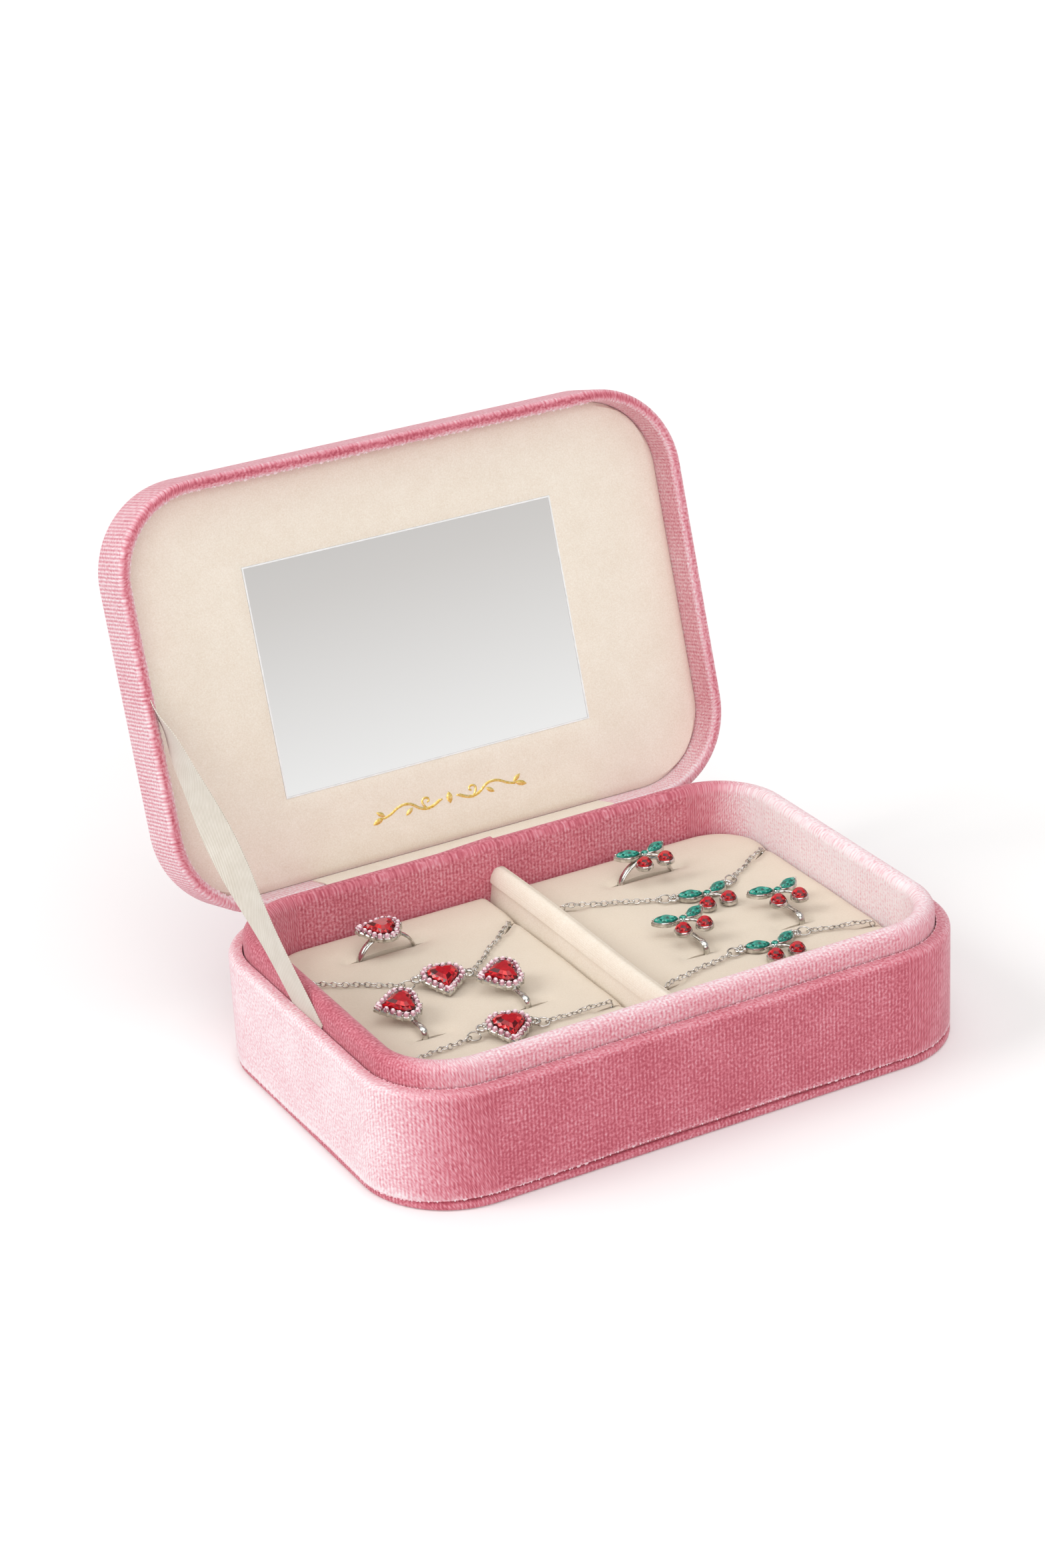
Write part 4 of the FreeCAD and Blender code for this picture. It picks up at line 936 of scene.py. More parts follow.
def raise_steps(name, points, low, *steps, middle=(0, 0)):
    """Extrude an outline upwards by steps of height and scale, and stay in edit mode."""
    obj = outline_piece(name, points, low)
    pick(obj, "FACE", lambda face: True)
    for height, scale in steps:
        bpy.ops.mesh.extrude_region_move(TRANSFORM_OT_translate={"value": (0, 0, height * MM)})
        if scale != 1:
            centre = (middle[0] * MM, middle[1] * MM, 0)
            bpy.ops.transform.resize(value=(scale, scale, 1), center_override=centre)
    return obj


def raised(name, points, low, *steps):
    """A closed shape, raised on its outline."""
    return outward_shell(raise_steps(name, points, low, *steps))


def pointed_oval(long, wide, count):
    """A pointed oval of two arcs, from its far end round to where it started."""
    points = []
    for k in range(2 * count):
        x = long * math.cos(math.pi * k / count)
        points.append((x, wide * (1 - (x / long) ** 2) * (1 if k < count else -1)))
    return points


def gather(name, parts):
    """Join parts into one object."""
    bpy.ops.object.select_all(action="DESELECT")
    for part in parts:
        part.select_set(True)
    bpy.context.view_layer.objects.active = parts[0]
    if len(parts) > 1:
        bpy.ops.object.join()
    parts[0].name = parts[0].data.name = name
    return parts[0]


print("outlines can be raised")

# %% [markdown]
# ## Bending a grid
#
# Stretched cloth is a fine grid that is bent point by point. The grid's square corners are drawn in
# to round ones, and near its edge the cloth drops along a quarter circle.

# %% Bent grids


def round_corner(x, y, half_x, half_y, radius):
    """Move a point of a square grid so that the grid's corner becomes a quarter disc."""
    a, b = (abs(x) - half_x + radius) / radius, (abs(y) - half_y + radius) / radius
    if a <= 0 or b <= 0:
        return x, y
    across = half_x - radius + radius * a * math.sqrt(1 - b * b / 2)
    along = half_y - radius + radius * b * math.sqrt(1 - a * a / 2)
    return math.copysign(across, x), math.copysign(along, y)


def inside_by(x, y, half_x, half_y, radius):
    """How far a point lies inside a round-cornered rectangle."""
    a, b = abs(x) - half_x + radius, abs(y) - half_y + radius
    return radius - math.hypot(max(a, 0), max(b, 0)) - min(max(a, b), 0)


def soft_edge(depth, radius):
    """How far cloth has dropped at a distance inside a rounded edge."""
    short = min(max(radius - depth, 0), radius)
    return radius - math.sqrt(radius * radius - short * short)


def hollow(distance, width):
    """A soft hollow: 1 in its middle, and nothing far from it."""
    return math.exp(-((distance / width) ** 2))


print("1 mm inside an edge of 3 mm, cloth has dropped", round(soft_edge(1, 3), 2), "mm")

# %% [markdown]
# ## Pads
#
# A pad is a foam block under thin cloth: flat, with a soft edge, and drawn down a little where it
# is slit. A grid is bent to that shape. Its border is pulled down to the floor, and thin blades
# cut the slits with a Boolean modifier.

# %% Pads
PAD_X, PAD_Y, PAD_EDGE = 35.4, 48.6, 3.2
PAD_CORNER, DIVIDER_CORNER = 15.1, 2.5
BLADE_LOW, BLADE_HIGH = 10, 30


def pull_down(obj, height):
    """Draw the border of a bent grid out to a height, and close it."""
    bpy.ops.object.mode_set(mode="EDIT")
    pick(obj, "EDGE", lambda edge: edge.is_boundary)
    bpy.ops.mesh.extrude_edges_move()
    for vertex in bmesh.from_edit_mesh(obj.data).verts:
        if vertex.select:
            vertex.co.z = height
    bmesh.update_edit_mesh(obj.data)
    bpy.ops.mesh.edge_face_add()
    outward_shell(obj)


def blades(rows):
    """Thin upright blades, one through each slit."""
    made = []
    for spot, along, length, width in rows:
        line = pointed_oval(length / 2, width / 2, 10)
        blade = raised("blade", line, BLADE_LOW, (BLADE_HIGH - BLADE_LOW, 1))
        angle = math.atan2(along.y, along.x)
        blade.data.transform(Matrix.Translation(spot * MM) @ Matrix.Rotation(angle, 4, "Z"))
        made.append(blade)
    return gather("blades", made)


def slit_drop(x, y, slits):
    """How far slits draw the cloth down at a point."""
    drop = 0
    for spot, along, length, width in slits:
        offset = Vector((x, y, 0)) - spot
        reach = offset.dot(along)
        beyond = max(abs(reach) - length / 2, 0)
        aside = (offset - along * reach).length
        drop += 0.4 * width ** 0.5 * hollow(beyond, 3) * hollow(aside, 4)
        drop += 0.5 * hollow(beyond, 1.5) * hollow(aside, 1.3)
    return drop


def cream_pad(name, theme, *nodes):
    """The pad of one set of jewels. Its corners are wide at the collar and small at the divider."""
    middle, slits = PAD_MIDDLES[theme], pad_slits(theme)
    pad = primitive(bpy.ops.mesh.primitive_grid_add, name, x_subdivisions=88, y_subdivisions=120, size=1)
    for vertex in pad.data.vertices:
        x, y = vertex.co.x * 2 * PAD_X, vertex.co.y * 2 * PAD_Y
        corner = PAD_CORNER if x * middle > 0 else DIVIDER_CORNER
        x, y = round_corner(x, y, PAD_X, PAD_Y, corner)
        deep = inside_by(x, y, PAD_X, PAD_Y, corner)
        x += middle
        wave = 0.2 * math.sin(x / 6 + y / 15) * math.sin(y / 7.5)
        drop = soft_edge(deep, PAD_EDGE) + wave + slit_drop(x, y, slits)
        vertex.co = Vector((x, y, PAD_TOP - drop)) * MM
    pull_down(pad, BASE)
    knife = blades(slits)
    finish_modifier(pad, "BOOLEAN", object=knife, operation="DIFFERENCE", solver="EXACT")
    bpy.data.objects.remove(knife)
    smooth(pad, 35)
    dress(pad, shaded_pad_cream, "base", "suede", *nodes)


cream_pad("heart_pad", "heart", "left_pad_cover", "left_pad_foam")
cream_pad("cherry_pad", "cherry", "right_pad_cover", "right_pad_foam")

# %% [markdown]
# ## Divider
#
# Between the pads stands a thin board in the same cloth, folded over its top edge. A block gets its
# two long top edges rounded and its ends softened, and its sides are then drawn together towards
# the crest, with a slight waver where the cloth is glued.

# %% Divider
DIVIDER_X, DIVIDER_Y = 4 * MM, 48.9 * MM
CREST, SHOULDER, NARROWING, WAVER = 31.4 * MM, 22 * MM, 0.4, 0.3 * MM


def along_crest(edge):
    """A long edge of the top."""
    a, b = edge.verts
    return level(edge, CREST) and abs(a.co.x - b.co.x) < 1e-6


def on_end(edge):
    """An edge of either end, clear of the floor."""
    return all(abs(abs(v.co.y) - DIVIDER_Y) < 1e-6 and v.co.z > BASE + MM for v in edge.verts)


divider = block("cream_divider", (-DIVIDER_X, -DIVIDER_Y, BASE), (DIVIDER_X, DIVIDER_Y, CREST))
bpy.ops.object.mode_set(mode="EDIT")
pick(divider, "EDGE", along_crest)
bevel(3.3 * MM, 10)
pick(divider, "EDGE", on_end)
bevel(1.1 * MM, 4)
for k in range(-9, 10):
    cut_across(Y, k * 5 * MM)
for height in range(20, 29, 2):
    cut_across(Z, height * MM)
bpy.ops.object.mode_set(mode="OBJECT")
for vertex in divider.data.vertices:
    lift = max(vertex.co.z - SHOULDER, 0) / (CREST - SHOULDER)
    vertex.co.x = vertex.co.x * (1 - NARROWING * lift) + WAVER * lift * math.sin(vertex.co.y * 70)
smooth(divider)
dress(divider, cream, "base", "suede", "divider_cover", "divider_core")

# %% [markdown]
# ## Panel in the lid
#
# A padded card with a window for the mirror. A grid is cut along the window's edges, the middle is
# taken out, and the outer edge and the window's edge are rolled back. Solidify gives the cloth its
# thickness.

# %% Lid panel
PANEL_X, PANEL_Y, PANEL_CORNER, PANEL_ROLL = 81.7, 55.2, 21.7, 1.0
WINDOW_X, WINDOW_Y = 47.2, 31.9
CLOTH_LEVEL = PANEL / MM + 0.3


def swell(gap):
    """How far the padding lifts the cloth at a distance from the window."""
    return 0.25 * hollow(gap - 9, 8)


def in_window(face):
    """A face of the grid that lies in the window."""
    x, y = WINDOW_X * MM + 1e-6, WINDOW_Y * MM + 1e-6
    return all(abs(v.co.x) < x and abs(v.co.y) < y for v in face.verts)


def bend_panel(panel):
    """Round the panel's corners, roll its edges back and let the padding swell."""
    for vertex in panel.data.vertices:
        x, y = round_corner(vertex.co.x / MM, vertex.co.y / MM, PANEL_X, PANEL_Y, PANEL_CORNER)
        rise = soft_edge(inside_by(x, y, PANEL_X, PANEL_Y, PANEL_CORNER), PANEL_ROLL)
        gap = -inside_by(x, y, WINDOW_X, WINDOW_Y, 0.01)
        rise += 0.5 * hollow(gap, 1.1)
        rise -= swell(gap)
        vertex.co = Vector((x, y, CLOTH_LEVEL + rise)) * MM


def lid_panel():
    """The whole panel, on the open lid."""
    grid = bpy.ops.mesh.primitive_grid_add
    panel = primitive(grid, "cream_panel", x_subdivisions=120, y_subdivisions=80, size=1)
    panel.data.transform(Matrix.Diagonal((2 * PANEL_X * MM, 2 * PANEL_Y * MM, 1, 1)))
    bpy.ops.object.mode_set(mode="EDIT")
    for sign in (-1, 1):
        cut_across(X, sign * WINDOW_X * MM)
        cut_across(Y, sign * WINDOW_Y * MM)
    pick(panel, "FACE", in_window)
    bpy.ops.mesh.delete(type="FACE")
    bpy.ops.object.mode_set(mode="OBJECT")
    bend_panel(panel)
    bpy.ops.object.mode_set(mode="EDIT")
    pick(panel, "EDGE", lambda edge: edge.is_boundary)
    bpy.ops.mesh.extrude_edges_move(TRANSFORM_OT_translate={"value": (0, 0, 0.35 * MM)})
    outward_shell(panel)
    if sum(face.normal.z for face in panel.data.polygons) > 0:
        panel.data.flip_normals()
    finish_modifier(panel, "SOLIDIFY", thickness=0.5 * MM, offset=-1)
    open_lid(panel)
    smooth(panel)
    dress(panel, cream, "lid", "suede", "lid_panel_cover")


lid_panel()

# %% [markdown]
# ## Mirror
#
# The mirror is the CAD model's own glass. It only needs a finish: silver behind clear glass, with
# the faintest unevenness in its polish.

# %% Mirror finish


def polish(tree, shader, grain, dull, bright):
    """Let the roughness follow a grain."""
    reach = {"From Min": 0.3, "From Max": 0.7, "To Min": dull, "To Max": bright}
    made = add(tree, "ShaderNodeMapRange", reach)
    wire(tree, grain, made.inputs["Value"])
    wire(tree, made.outputs["Result"], shader.inputs["Roughness"])


def mirror_finish():
    """Silvered glass."""
    material, tree, shader = new_finish("mirror_glass", Metallic=1.0, Base_Color=(0.95, 0.95, 0.945, 1))
    polish(tree, shader, noise(tree, own_place(tree), 30, 2), 0.012, 0.03)
    return material


coat(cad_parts["mirror"].data, mirror_finish())

# %% [markdown]
# The cut edge of the glass shows as a thin pale line, partly its ground edge and partly a painted
# highlight. It is a flat ring, just in front of the glass: a plane, inset, with its middle taken
# out and given a little thickness.

# %% Edge of the glass
EDGE_LEVEL, EDGE_WIDE, EDGE_BACK = 41.66, 0.42 * MM, 0.05


def grained_finish(name, scale, depth, roughness, dark, pale):
    """A finish that only varies in tone, with a bump of the same grain."""
    material, tree, shader = new_finish(name, Roughness=roughness)
    grain = noise(tree, own_place(tree), scale, 3)
    wire(tree, ramp(tree, grain, (0.3, dark), (0.7, pale)), shader.inputs["Base Color"])
    wire(tree, bump(tree, grain, depth * MM, 0.4), shader.inputs["Normal"])
    return material


ground_glass_and_highlight = grained_finish("ground_glass_and_highlight", 500, 0.02, 0.2, (0.8, 0.82, 0.82), (0.93, 0.94, 0.94))
edge_ring = primitive(bpy.ops.mesh.primitive_plane_add, "mirror_glass_edge", size=1)
for vertex in edge_ring.data.vertices:
    x, y = vertex.co.x * 2 * (WINDOW_X - EDGE_BACK), vertex.co.y * 2 * (WINDOW_Y - EDGE_BACK)
    vertex.co = Vector((x, y, EDGE_LEVEL)) * MM
bpy.ops.object.mode_set(mode="EDIT")
bpy.ops.mesh.select_all(action="SELECT")
bpy.ops.mesh.inset(thickness=EDGE_WIDE, depth=0)
bpy.ops.mesh.delete(type="FACE")
bpy.ops.object.mode_set(mode="OBJECT")
finish_modifier(edge_ring, "SOLIDIFY", thickness=0.12 * MM, offset=0)
open_lid(edge_ring)
dress(edge_ring, ground_glass_and_highlight, "lid", "mirror")

# %% [markdown]
# The foam and the card behind the panel stay the CAD model's own. They hardly ever show, and get the
# open grain of foam and the fibres of grey board.

# %% Foam and board behind the panel
foam = grained_finish("pad_foam", 900, 0.3, 0.95, (0.72, 0.7, 0.62), (0.86, 0.84, 0.77))
grey_board = grained_finish("grey_board", 1500, 0.06, 0.9, (0.36, 0.34, 0.3), (0.5, 0.48, 0.44))
for node, material in (("lid_foam", foam), ("lid_panel_card", grey_board)):
    coat(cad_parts[node].data, material)
    print(node, "in", material.name)

# %% [markdown]
# ## Gold scroll
#
# Below the mirror the panel carries a small ornament in gold foil: a lozenge between two waving
# lines with leaf ends. The lines are bevelled curves that taper, and the leaves and the lozenge are
# raised outlines.

# %% Gold foil


def gold_finish():
    """Foil with a fine crinkle."""
    material, tree, shader = new_finish("gold_foil", Metallic=1.0)
    crinkle = noise(tree, own_place(tree), 1600, 3)
    stops = (0.3, (0.75, 0.5, 0.1)), (0.5, (0.95, 0.72, 0.22)), (0.7, (1.0, 0.87, 0.46))
    wire(tree, ramp(tree, crinkle, *stops), shader.inputs["Base Color"])
    polish(tree, shader, crinkle, 0.45, 0.25)
    wire(tree, bump(tree, crinkle, 0.06 * MM, 0.6), shader.inputs["Normal"])
    return material


def wire_line(name, route, thickness, thin_end=1.0, sides=2, steps=12):
    """A round wire along a smooth line through points, thinner towards its end."""
    bpy.ops.object.select_all(action="DESELECT")
    curve = bpy.data.curves.new(name, "CURVE")
    curve.dimensions = "3D"
    curve.bevel_depth = thickness * MM
    curve.bevel_resolution = sides
    curve.resolution_u = steps
    curve.use_fill_caps = True
    spline = curve.splines.new("NURBS")
    spline.points.add(len(route) - 1)
    for k, (point, spot) in enumerate(zip(spline.points, route)):
        point.co = (*(Vector(spot) * MM), 1)
        point.radius = 1 + (thin_end - 1) * k / (len(route) - 1)
    spline.order_u = 3
    spline.use_endpoint_u = True
    obj = bpy.data.objects.new(name, curve)
    bpy.context.collection.objects.link(obj)
    focus(obj)
    bpy.ops.object.convert(target="MESH")
    smooth(bpy.context.object, 60)
    return bpy.context.object


def foil_shape(points, x, y, angle):
    """A small raised shape of foil on its outline, with a softened edge."""
    obj = raised("foil", points, -0.3, (0.4, 1), (0.2, 0.75))
    obj.data.transform(Matrix.Translation((x * MM, y * MM, 0)) @ Matrix.Rotation(angle, 4, "Z"))
    return obj


gold = gold_finish()
print(gold.name, "with", len(gold.node_tree.nodes), "nodes")

# %% [markdown]
# The right half of the scroll is listed point by point, and the left half is its mirror image. All
# of it is then pressed nearly flat onto the swelling cloth.

# %% Gold scroll
SCROLL_Y = 43.0
WAVE = [(3, 0), (5.5, -1.5), (9, -1.2), (12, 1.4), (15.5, 1.3), (18.5, -0.6), (20.5, -0.9)]
CURL = [(7.2, -1.5), (8.6, 0.3), (8.0, 1.7), (6.4, 1.6), (6.2, 0.5), (7.0, 0.4)]
FOIL_LEAVES = [(22.2, -1.3, -20, 1.9), (21.2, 0.4, 35, 1.5), (12.6, -0.9, -35, 1.5), (2.6, 0, 0, 0.5)]
foil = [foil_shape(pointed_oval(1.7, 0.95, 6), 0, 0, math.pi / 2)]
for hand in (-1, 1):
    foil.append(wire_line("scroll_line", [(hand * x, y, 0) for x, y in WAVE], 0.44, 0.75))
    foil.append(wire_line("scroll_curl", [(hand * x, y, 0) for x, y in CURL], 0.36, 0.7))
    for x, y, angle, long in FOIL_LEAVES:
        lean = math.radians(angle if hand > 0 else 180 - angle)
        foil.append(foil_shape(pointed_oval(long, 0.34 * long + 0.16, 5), hand * x, y, lean))
scroll = gather("gold_scroll", foil)
for vertex in scroll.data.vertices:
    x, y, z = vertex.co / MM
    y = SCROLL_Y - y
    cloth = CLOTH_LEVEL - swell(y - WINDOW_Y)
    vertex.co = Vector((x, y, cloth - 0.04 - 0.35 * z)) * MM
open_lid(scroll)
smooth(scroll, 50)
dress(scroll, gold, "lid", None)

# %% [markdown]
# ## Cloth between base and lid
#
# A cream strip lines the hinge inside, a velvet band is glued over it behind, and a satin ribbon
# at the left stops the lid. Each is a grid that is laid along a line and given its thickness.
# All three lie between base and lid, and ride on neither.

# %% Strips of cloth


def store_pile(mesh, way):
    """Store a UV map, from where each point lies."""
    pile = mesh.uv_layers.new(name="pile")
    for loop in mesh.loops:
        pile.data[loop.index].uv = way(mesh.vertices[loop.vertex_index].co)


def strip_of(name, line, half, thickness):
    """A strip along a line of (y, z) points, as far to the left as to the right."""
    lengths = [0]
    for a, b in zip(line, line[1:]):
        lengths.append(lengths[-1] + math.dist(a, b))
    strip = primitive(bpy.ops.mesh.primitive_grid_add, name, x_subdivisions=24, y_subdivisions=40, size=1)
    for vertex in strip.data.vertices:
        x = -half + (vertex.co.x + 0.5) * 2 * half
        along = (vertex.co.y + 0.5) * lengths[-1]
        k = max(i for i, length in enumerate(lengths[:-1]) if length <= along + 1e-9)
        part = (along - lengths[k]) / (lengths[k + 1] - lengths[k])
        y, z = [a + part * (b - a) for a, b in zip(line[k], line[k + 1])]
        vertex.co = Vector((x, y, z)) * MM
    store_pile(strip.data, lambda spot: (spot.x, spot.y + spot.z))
    finish_modifier(strip, "SOLIDIFY", thickness=thickness * MM, offset=0)
    smooth(strip)
    return strip, lengths[-1]


def opened(y, z):
    """Where a point of the shut lid lies once the lid is open."""
    spot = Matrix.Rotation(-OPENING, 4, "X") @ (Vector((0, y, z)) * MM - HINGE) + HINGE
    return spot.y / MM, spot.z / MM


print("the lid's back edge opens to", [round(v, 1) for v in opened(DEPTH / 2 / MM, RIM / MM)])

# %% [markdown]
# The hinge strip is 89.5 mm wide. It starts at the panel, crosses the lid's side and the top of
# the wall, and is tucked behind the collar.

# %% Hinge strip
on_lid = [opened(55.15, 40.7), opened(55.15, 36.5), opened(55.05, 32.5)]
on_wall = [(60.2, 32.65), (55.6, 32.6), (54.75, 31.9), (54.7, 26.0)]
hinge_strip, strip_length = strip_of("hinge_strip_cloth", on_lid + on_wall, 44.75, 0.3)
dress(hinge_strip, cream, None, "suede", "hinge_strip")
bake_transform(hinge_strip)

# %% [markdown]
# The velvet band covers the hinge behind. It bends in one soft curve where wall and lid meet. The
# curve's hub lies as far from both faces as the bend is round.

# %% Hinge band
BEND, BEND_STEPS, LAP, BAND_GAP = 2.8, 12, 5.0, 0.3
back_face = DEPTH / 2 / MM + BAND_GAP
low_y, low_z = opened(back_face, RIM / MM)
high_y, high_z = opened(back_face, LID_TOP / MM)
lid_way = Vector((high_y - low_y, high_z - low_z)).normalized()
fold = Vector((back_face, low_z + (back_face - low_y) / lid_way.x * lid_way.y))
reach = BEND * math.tan(OPENING / 2)
hub = fold + Vector((BEND, -reach))
band_line = [(fold.x, fold.y - reach - LAP)]
for k in range(BEND_STEPS + 1):
    angle = math.pi - k / BEND_STEPS * OPENING
    band_line.append((hub.x + BEND * math.cos(angle), hub.y + BEND * math.sin(angle)))
band_line.append(tuple(fold + lid_way * (reach + LAP)))
hinge_band, band_length = strip_of("hinge_band_velvet", band_line, 56, 0.6)
for name, amount in (("nap", 0.3), ("ribbing", 1.0)):
    for value in hinge_band.data.attributes.new(name, "FLOAT", "POINT").data:
        value.value = amount
dress(hinge_band, velvet, None, "velvet", "hinge_band")
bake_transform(hinge_band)

# %% [markdown]
# The ribbon's satin has a fine slanting twill, which shows as a soft shine. It is drawn on the
# ribbon's own UV map, so that it follows the turns.

# %% Satin


def satin_finish():
    """Cream satin with a slanting twill."""
    material, tree, shader = new_finish("cream_satin", Roughness=0.42, Sheen_Weight=0.3, Sheen_Roughness=0.3)
    cloth = add(tree, "ShaderNodeUVMap", uv_map="pile").outputs["UV"]
    turned = add(tree, "ShaderNodeMapping", {"Rotation": (0, 0, math.radians(50))})
    wire(tree, cloth, turned.inputs["Vector"])
    weave = {"Scale": wave_scale(0.55 * MM), "Distortion": 0.6, "Detail": 1.0}
    twill = add(tree, "ShaderNodeTexWave", weave)
    wire(tree, turned.outputs["Vector"], twill.inputs["Vector"])
    tone = weighed(tree, twill.outputs["Fac"], 0.6, noise(tree, cloth, 220, 2), 0.4)
    stops = (0.2, (0.5, 0.44, 0.36)), (0.5, (0.61, 0.56, 0.485)), (0.8, (0.73, 0.69, 0.625))
    wire(tree, ramp(tree, tone, *stops), shader.inputs["Base Color"])
    wire(tree, bump(tree, twill.outputs["Fac"], 0.05 * MM, 0.5), shader.inputs["Normal"])
    return material


satin = satin_finish()
print(satin.name, "with", len(satin.node_tree.nodes), "nodes")

# %% [markdown]
# The ribbon is 10 mm wide. It hangs between its slot beside the collar and the edge of the panel,
# so it sags a little, and it turns on edge halfway up and back again near its upper end.

# %% Ribbon
RIBBON_X, RIBBON_WIDE = -81.2, 10
RIBBON_LOW, RIBBON_HIGH = Vector((0, -1, 32)), Vector((0, 90.68, 91.32))
SLOT_DEEP, TUCK = 6, 5
SAG = Vector((0, 0.35, -0.9))


def ribbon():
    """The whole ribbon, from inside its slot to behind the panel."""
    along = (RIBBON_HIGH - RIBBON_LOW).normalized()
    low, tucked = RIBBON_LOW - along * SLOT_DEEP, RIBBON_HIGH + along * TUCK
    length = (tucked - low).length
    across = Vector((0, -along.z, along.y))
    grid = bpy.ops.mesh.primitive_grid_add
    strip = primitive(grid, "satin_ribbon", x_subdivisions=10, y_subdivisions=90, size=1)
    store_pile(strip.data, lambda flat: (flat.x * RIBBON_WIDE * MM, flat.y * length * MM))
    for vertex in strip.data.vertices:
        aside, t = vertex.co.x * RIBBON_WIDE, vertex.co.y + 0.5
        free = math.sin(math.pi * min(max((t - 0.09) / 0.91, 0), 1))
        twist = math.radians(30) * hollow(t - 0.5, 0.17) - math.radians(22) * hollow(t - 0.86, 0.07)
        curl = 0.22 * free * (1 - (aside / 5) ** 2)
        side = across * math.cos(twist) + Vector((1, 0, 0)) * math.sin(twist)
        x = RIBBON_X - 0.42 * max(t - 0.8, 0) / 0.2 + curl + 0.15 * free
        spot = low + along * (t * length) + side * aside + SAG * free + Vector((x, 0, 0))
        vertex.co = spot * MM
    finish_modifier(strip, "SOLIDIFY", thickness=0.24 * MM, offset=0)
    smooth(strip)
    dress(strip, satin, None, "satin", "ribbon_stay")
    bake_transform(strip)


ribbon()

# %% [markdown]
# ## Silver and stones
#
# The settings are bright plated silver. The stones are cut glass over foil. Their reflections are
# painted: every facet gets its own depth of colour, stored as one number per face, and a ramp
# turns it into dark, clear and flashing facets of one colour, painted reflections and flashes.

# %% Silver and stone finishes


def silver_finish():
    """Plated silver, with a random grain of darker and brighter tone and polish."""
    material, tree, shader = new_finish("bright_silver", Metallic=1.0)
    tarnish = noise(tree, own_place(tree), 700, 3)
    stops = (0.3, (0.34, 0.32, 0.29)), (0.5, (0.58, 0.56, 0.52)), (0.7, (0.82, 0.81, 0.79))
    wire(tree, ramp(tree, tarnish, *stops), shader.inputs["Base Color"])
    polish(tree, shader, tarnish, 0.22, 0.1)
    return material


def stone_finish(name, *stops):
    """Cut glass whose painted reflections follow its facets."""
    material, tree, shader = new_finish(name, Roughness=0.06, IOR=1.5)
    # A fine grain varies the painted reflection within each facet.
    depth = swing(tree, noise(tree, own_place(tree), 900, 2), 0.5)
    tone = maths(tree, "ADD", attribute(tree, "painted_facet_flash"), depth)
    wire(tree, ramp(tree, tone, *stops), shader.inputs["Base Color"])
    return material


silver = silver_finish()
# Each ramp runs from painted dark reflections to painted flashes.
red_stone = stone_finish(
    "red_glass",
    (0.1, (0.07, 0.0, 0.003)),
    (0.4, (0.25, 0.0, 0.006)),
    (0.75, (0.55, 0.003, 0.012)),
    (1.0, (0.86, 0.05, 0.05)),
)
pink_crystal = stone_finish(
    "pink_crystal",
    (0.05, (0.34, 0.11, 0.16)),
    (0.4, (0.74, 0.42, 0.5)),
    (0.75, (0.9, 0.68, 0.74)),
    (1.0, (0.97, 0.9, 0.92)),
)
green_stone = stone_finish(
    "green_glass",
    (0.1, (0.0, 0.06, 0.045)),
    (0.45, (0.0, 0.17, 0.125)),
    (0.8, (0.004, 0.33, 0.25)),
    (1.0, (0.12, 0.56, 0.44)),
)
print("finishes:", [item.name for item in (silver, red_stone, pink_crystal, green_stone)])

# %% [markdown]
# ## Cutting a stone
#
# A stone starts as a flat outline. It is raised to its girdle and drawn in twice to the flat table
# on top, and then each face next to the girdle is poked, which splits it into small facets below
# the larger ones. Operators don't keep faces in the same order on every run, so the facets are
# counted by their place, from the bottom up along a slightly slanting line.

# %% Cutting and copying
CROWN_BREAK, CROWN_DRAW = 0.62, 0.8
SLANT = Vector((0.29, 0.53, 40))


def number_facets(obj):
    """Give each face a number between 0 and 1. They are counted by place, the same on every run."""
    painted_facet_flash = obj.data.attributes.new("painted_facet_flash", "FLOAT", "FACE")
    faces = sorted(obj.data.polygons, key=lambda face: face.center.dot(SLANT))
    for k, face in enumerate(faces):
        painted_facet_flash.data[face.index].value = math.modf(abs(math.sin(k * 12.9898 + 4.84) * 437.585))[0]


def cut_stone(name, points, low, girdle, crown, table, middle=(0, 0)):
    """A stone on an outline: girdle, two rings of facets and a flat table."""
    lower = (crown * CROWN_BREAK, CROWN_DRAW)
    upper = (crown * (1 - CROWN_BREAK), table / CROWN_DRAW)
    obj = raise_steps(name, points, low, (girdle, 1), lower, upper, middle=middle)
    break_z = (low + girdle) * MM
    ring_z = break_z + crown * CROWN_BREAK * MM

    def beside_girdle(face):
        return len(face.verts) == 4 and break_z + 1e-5 < face.calc_center_median().z < ring_z

    pick(obj, "FACE", beside_girdle)
    bpy.ops.mesh.poke(offset=0.05 * MM)
    outward_shell(obj)
    number_facets(obj)
    return obj


def round_line(radius, count):
    """Even points round a circle."""
    turns = [k * math.tau / count for k in range(count)]
    return [(-radius * math.sin(turn), radius * math.cos(turn)) for turn in turns]


def copy_of(model, matrix):
    """A copy of a model with its own mesh, moved by a matrix in millimetres."""
    twin = model.copy()
    twin.data = model.data.copy()
    scale = Matrix.Diagonal((MM, MM, MM, 1))
    twin.data.transform(scale @ matrix @ scale.inverted())
    bpy.context.collection.objects.link(twin)
    return twin


def moved(x, y, z=0.0, angle=0.0, scale=1.0):
    """A place, a turn about Z and a scale."""
    return Matrix.Translation((x, y, z)) @ Matrix.Rotation(angle, 4, "Z") @ Matrix.Scale(scale, 4)


models = []
print("stones can be cut and copied")

# %% [markdown]
# ## Heart
#
# A heart is two round lobes and a point. The points of its outline are spread evenly along one
# lobe and one straight side, and mirrored. The same outline, set out a little, is the silver
# plate, and a line between them carries the row of crystals.

# %% Outline of a heart


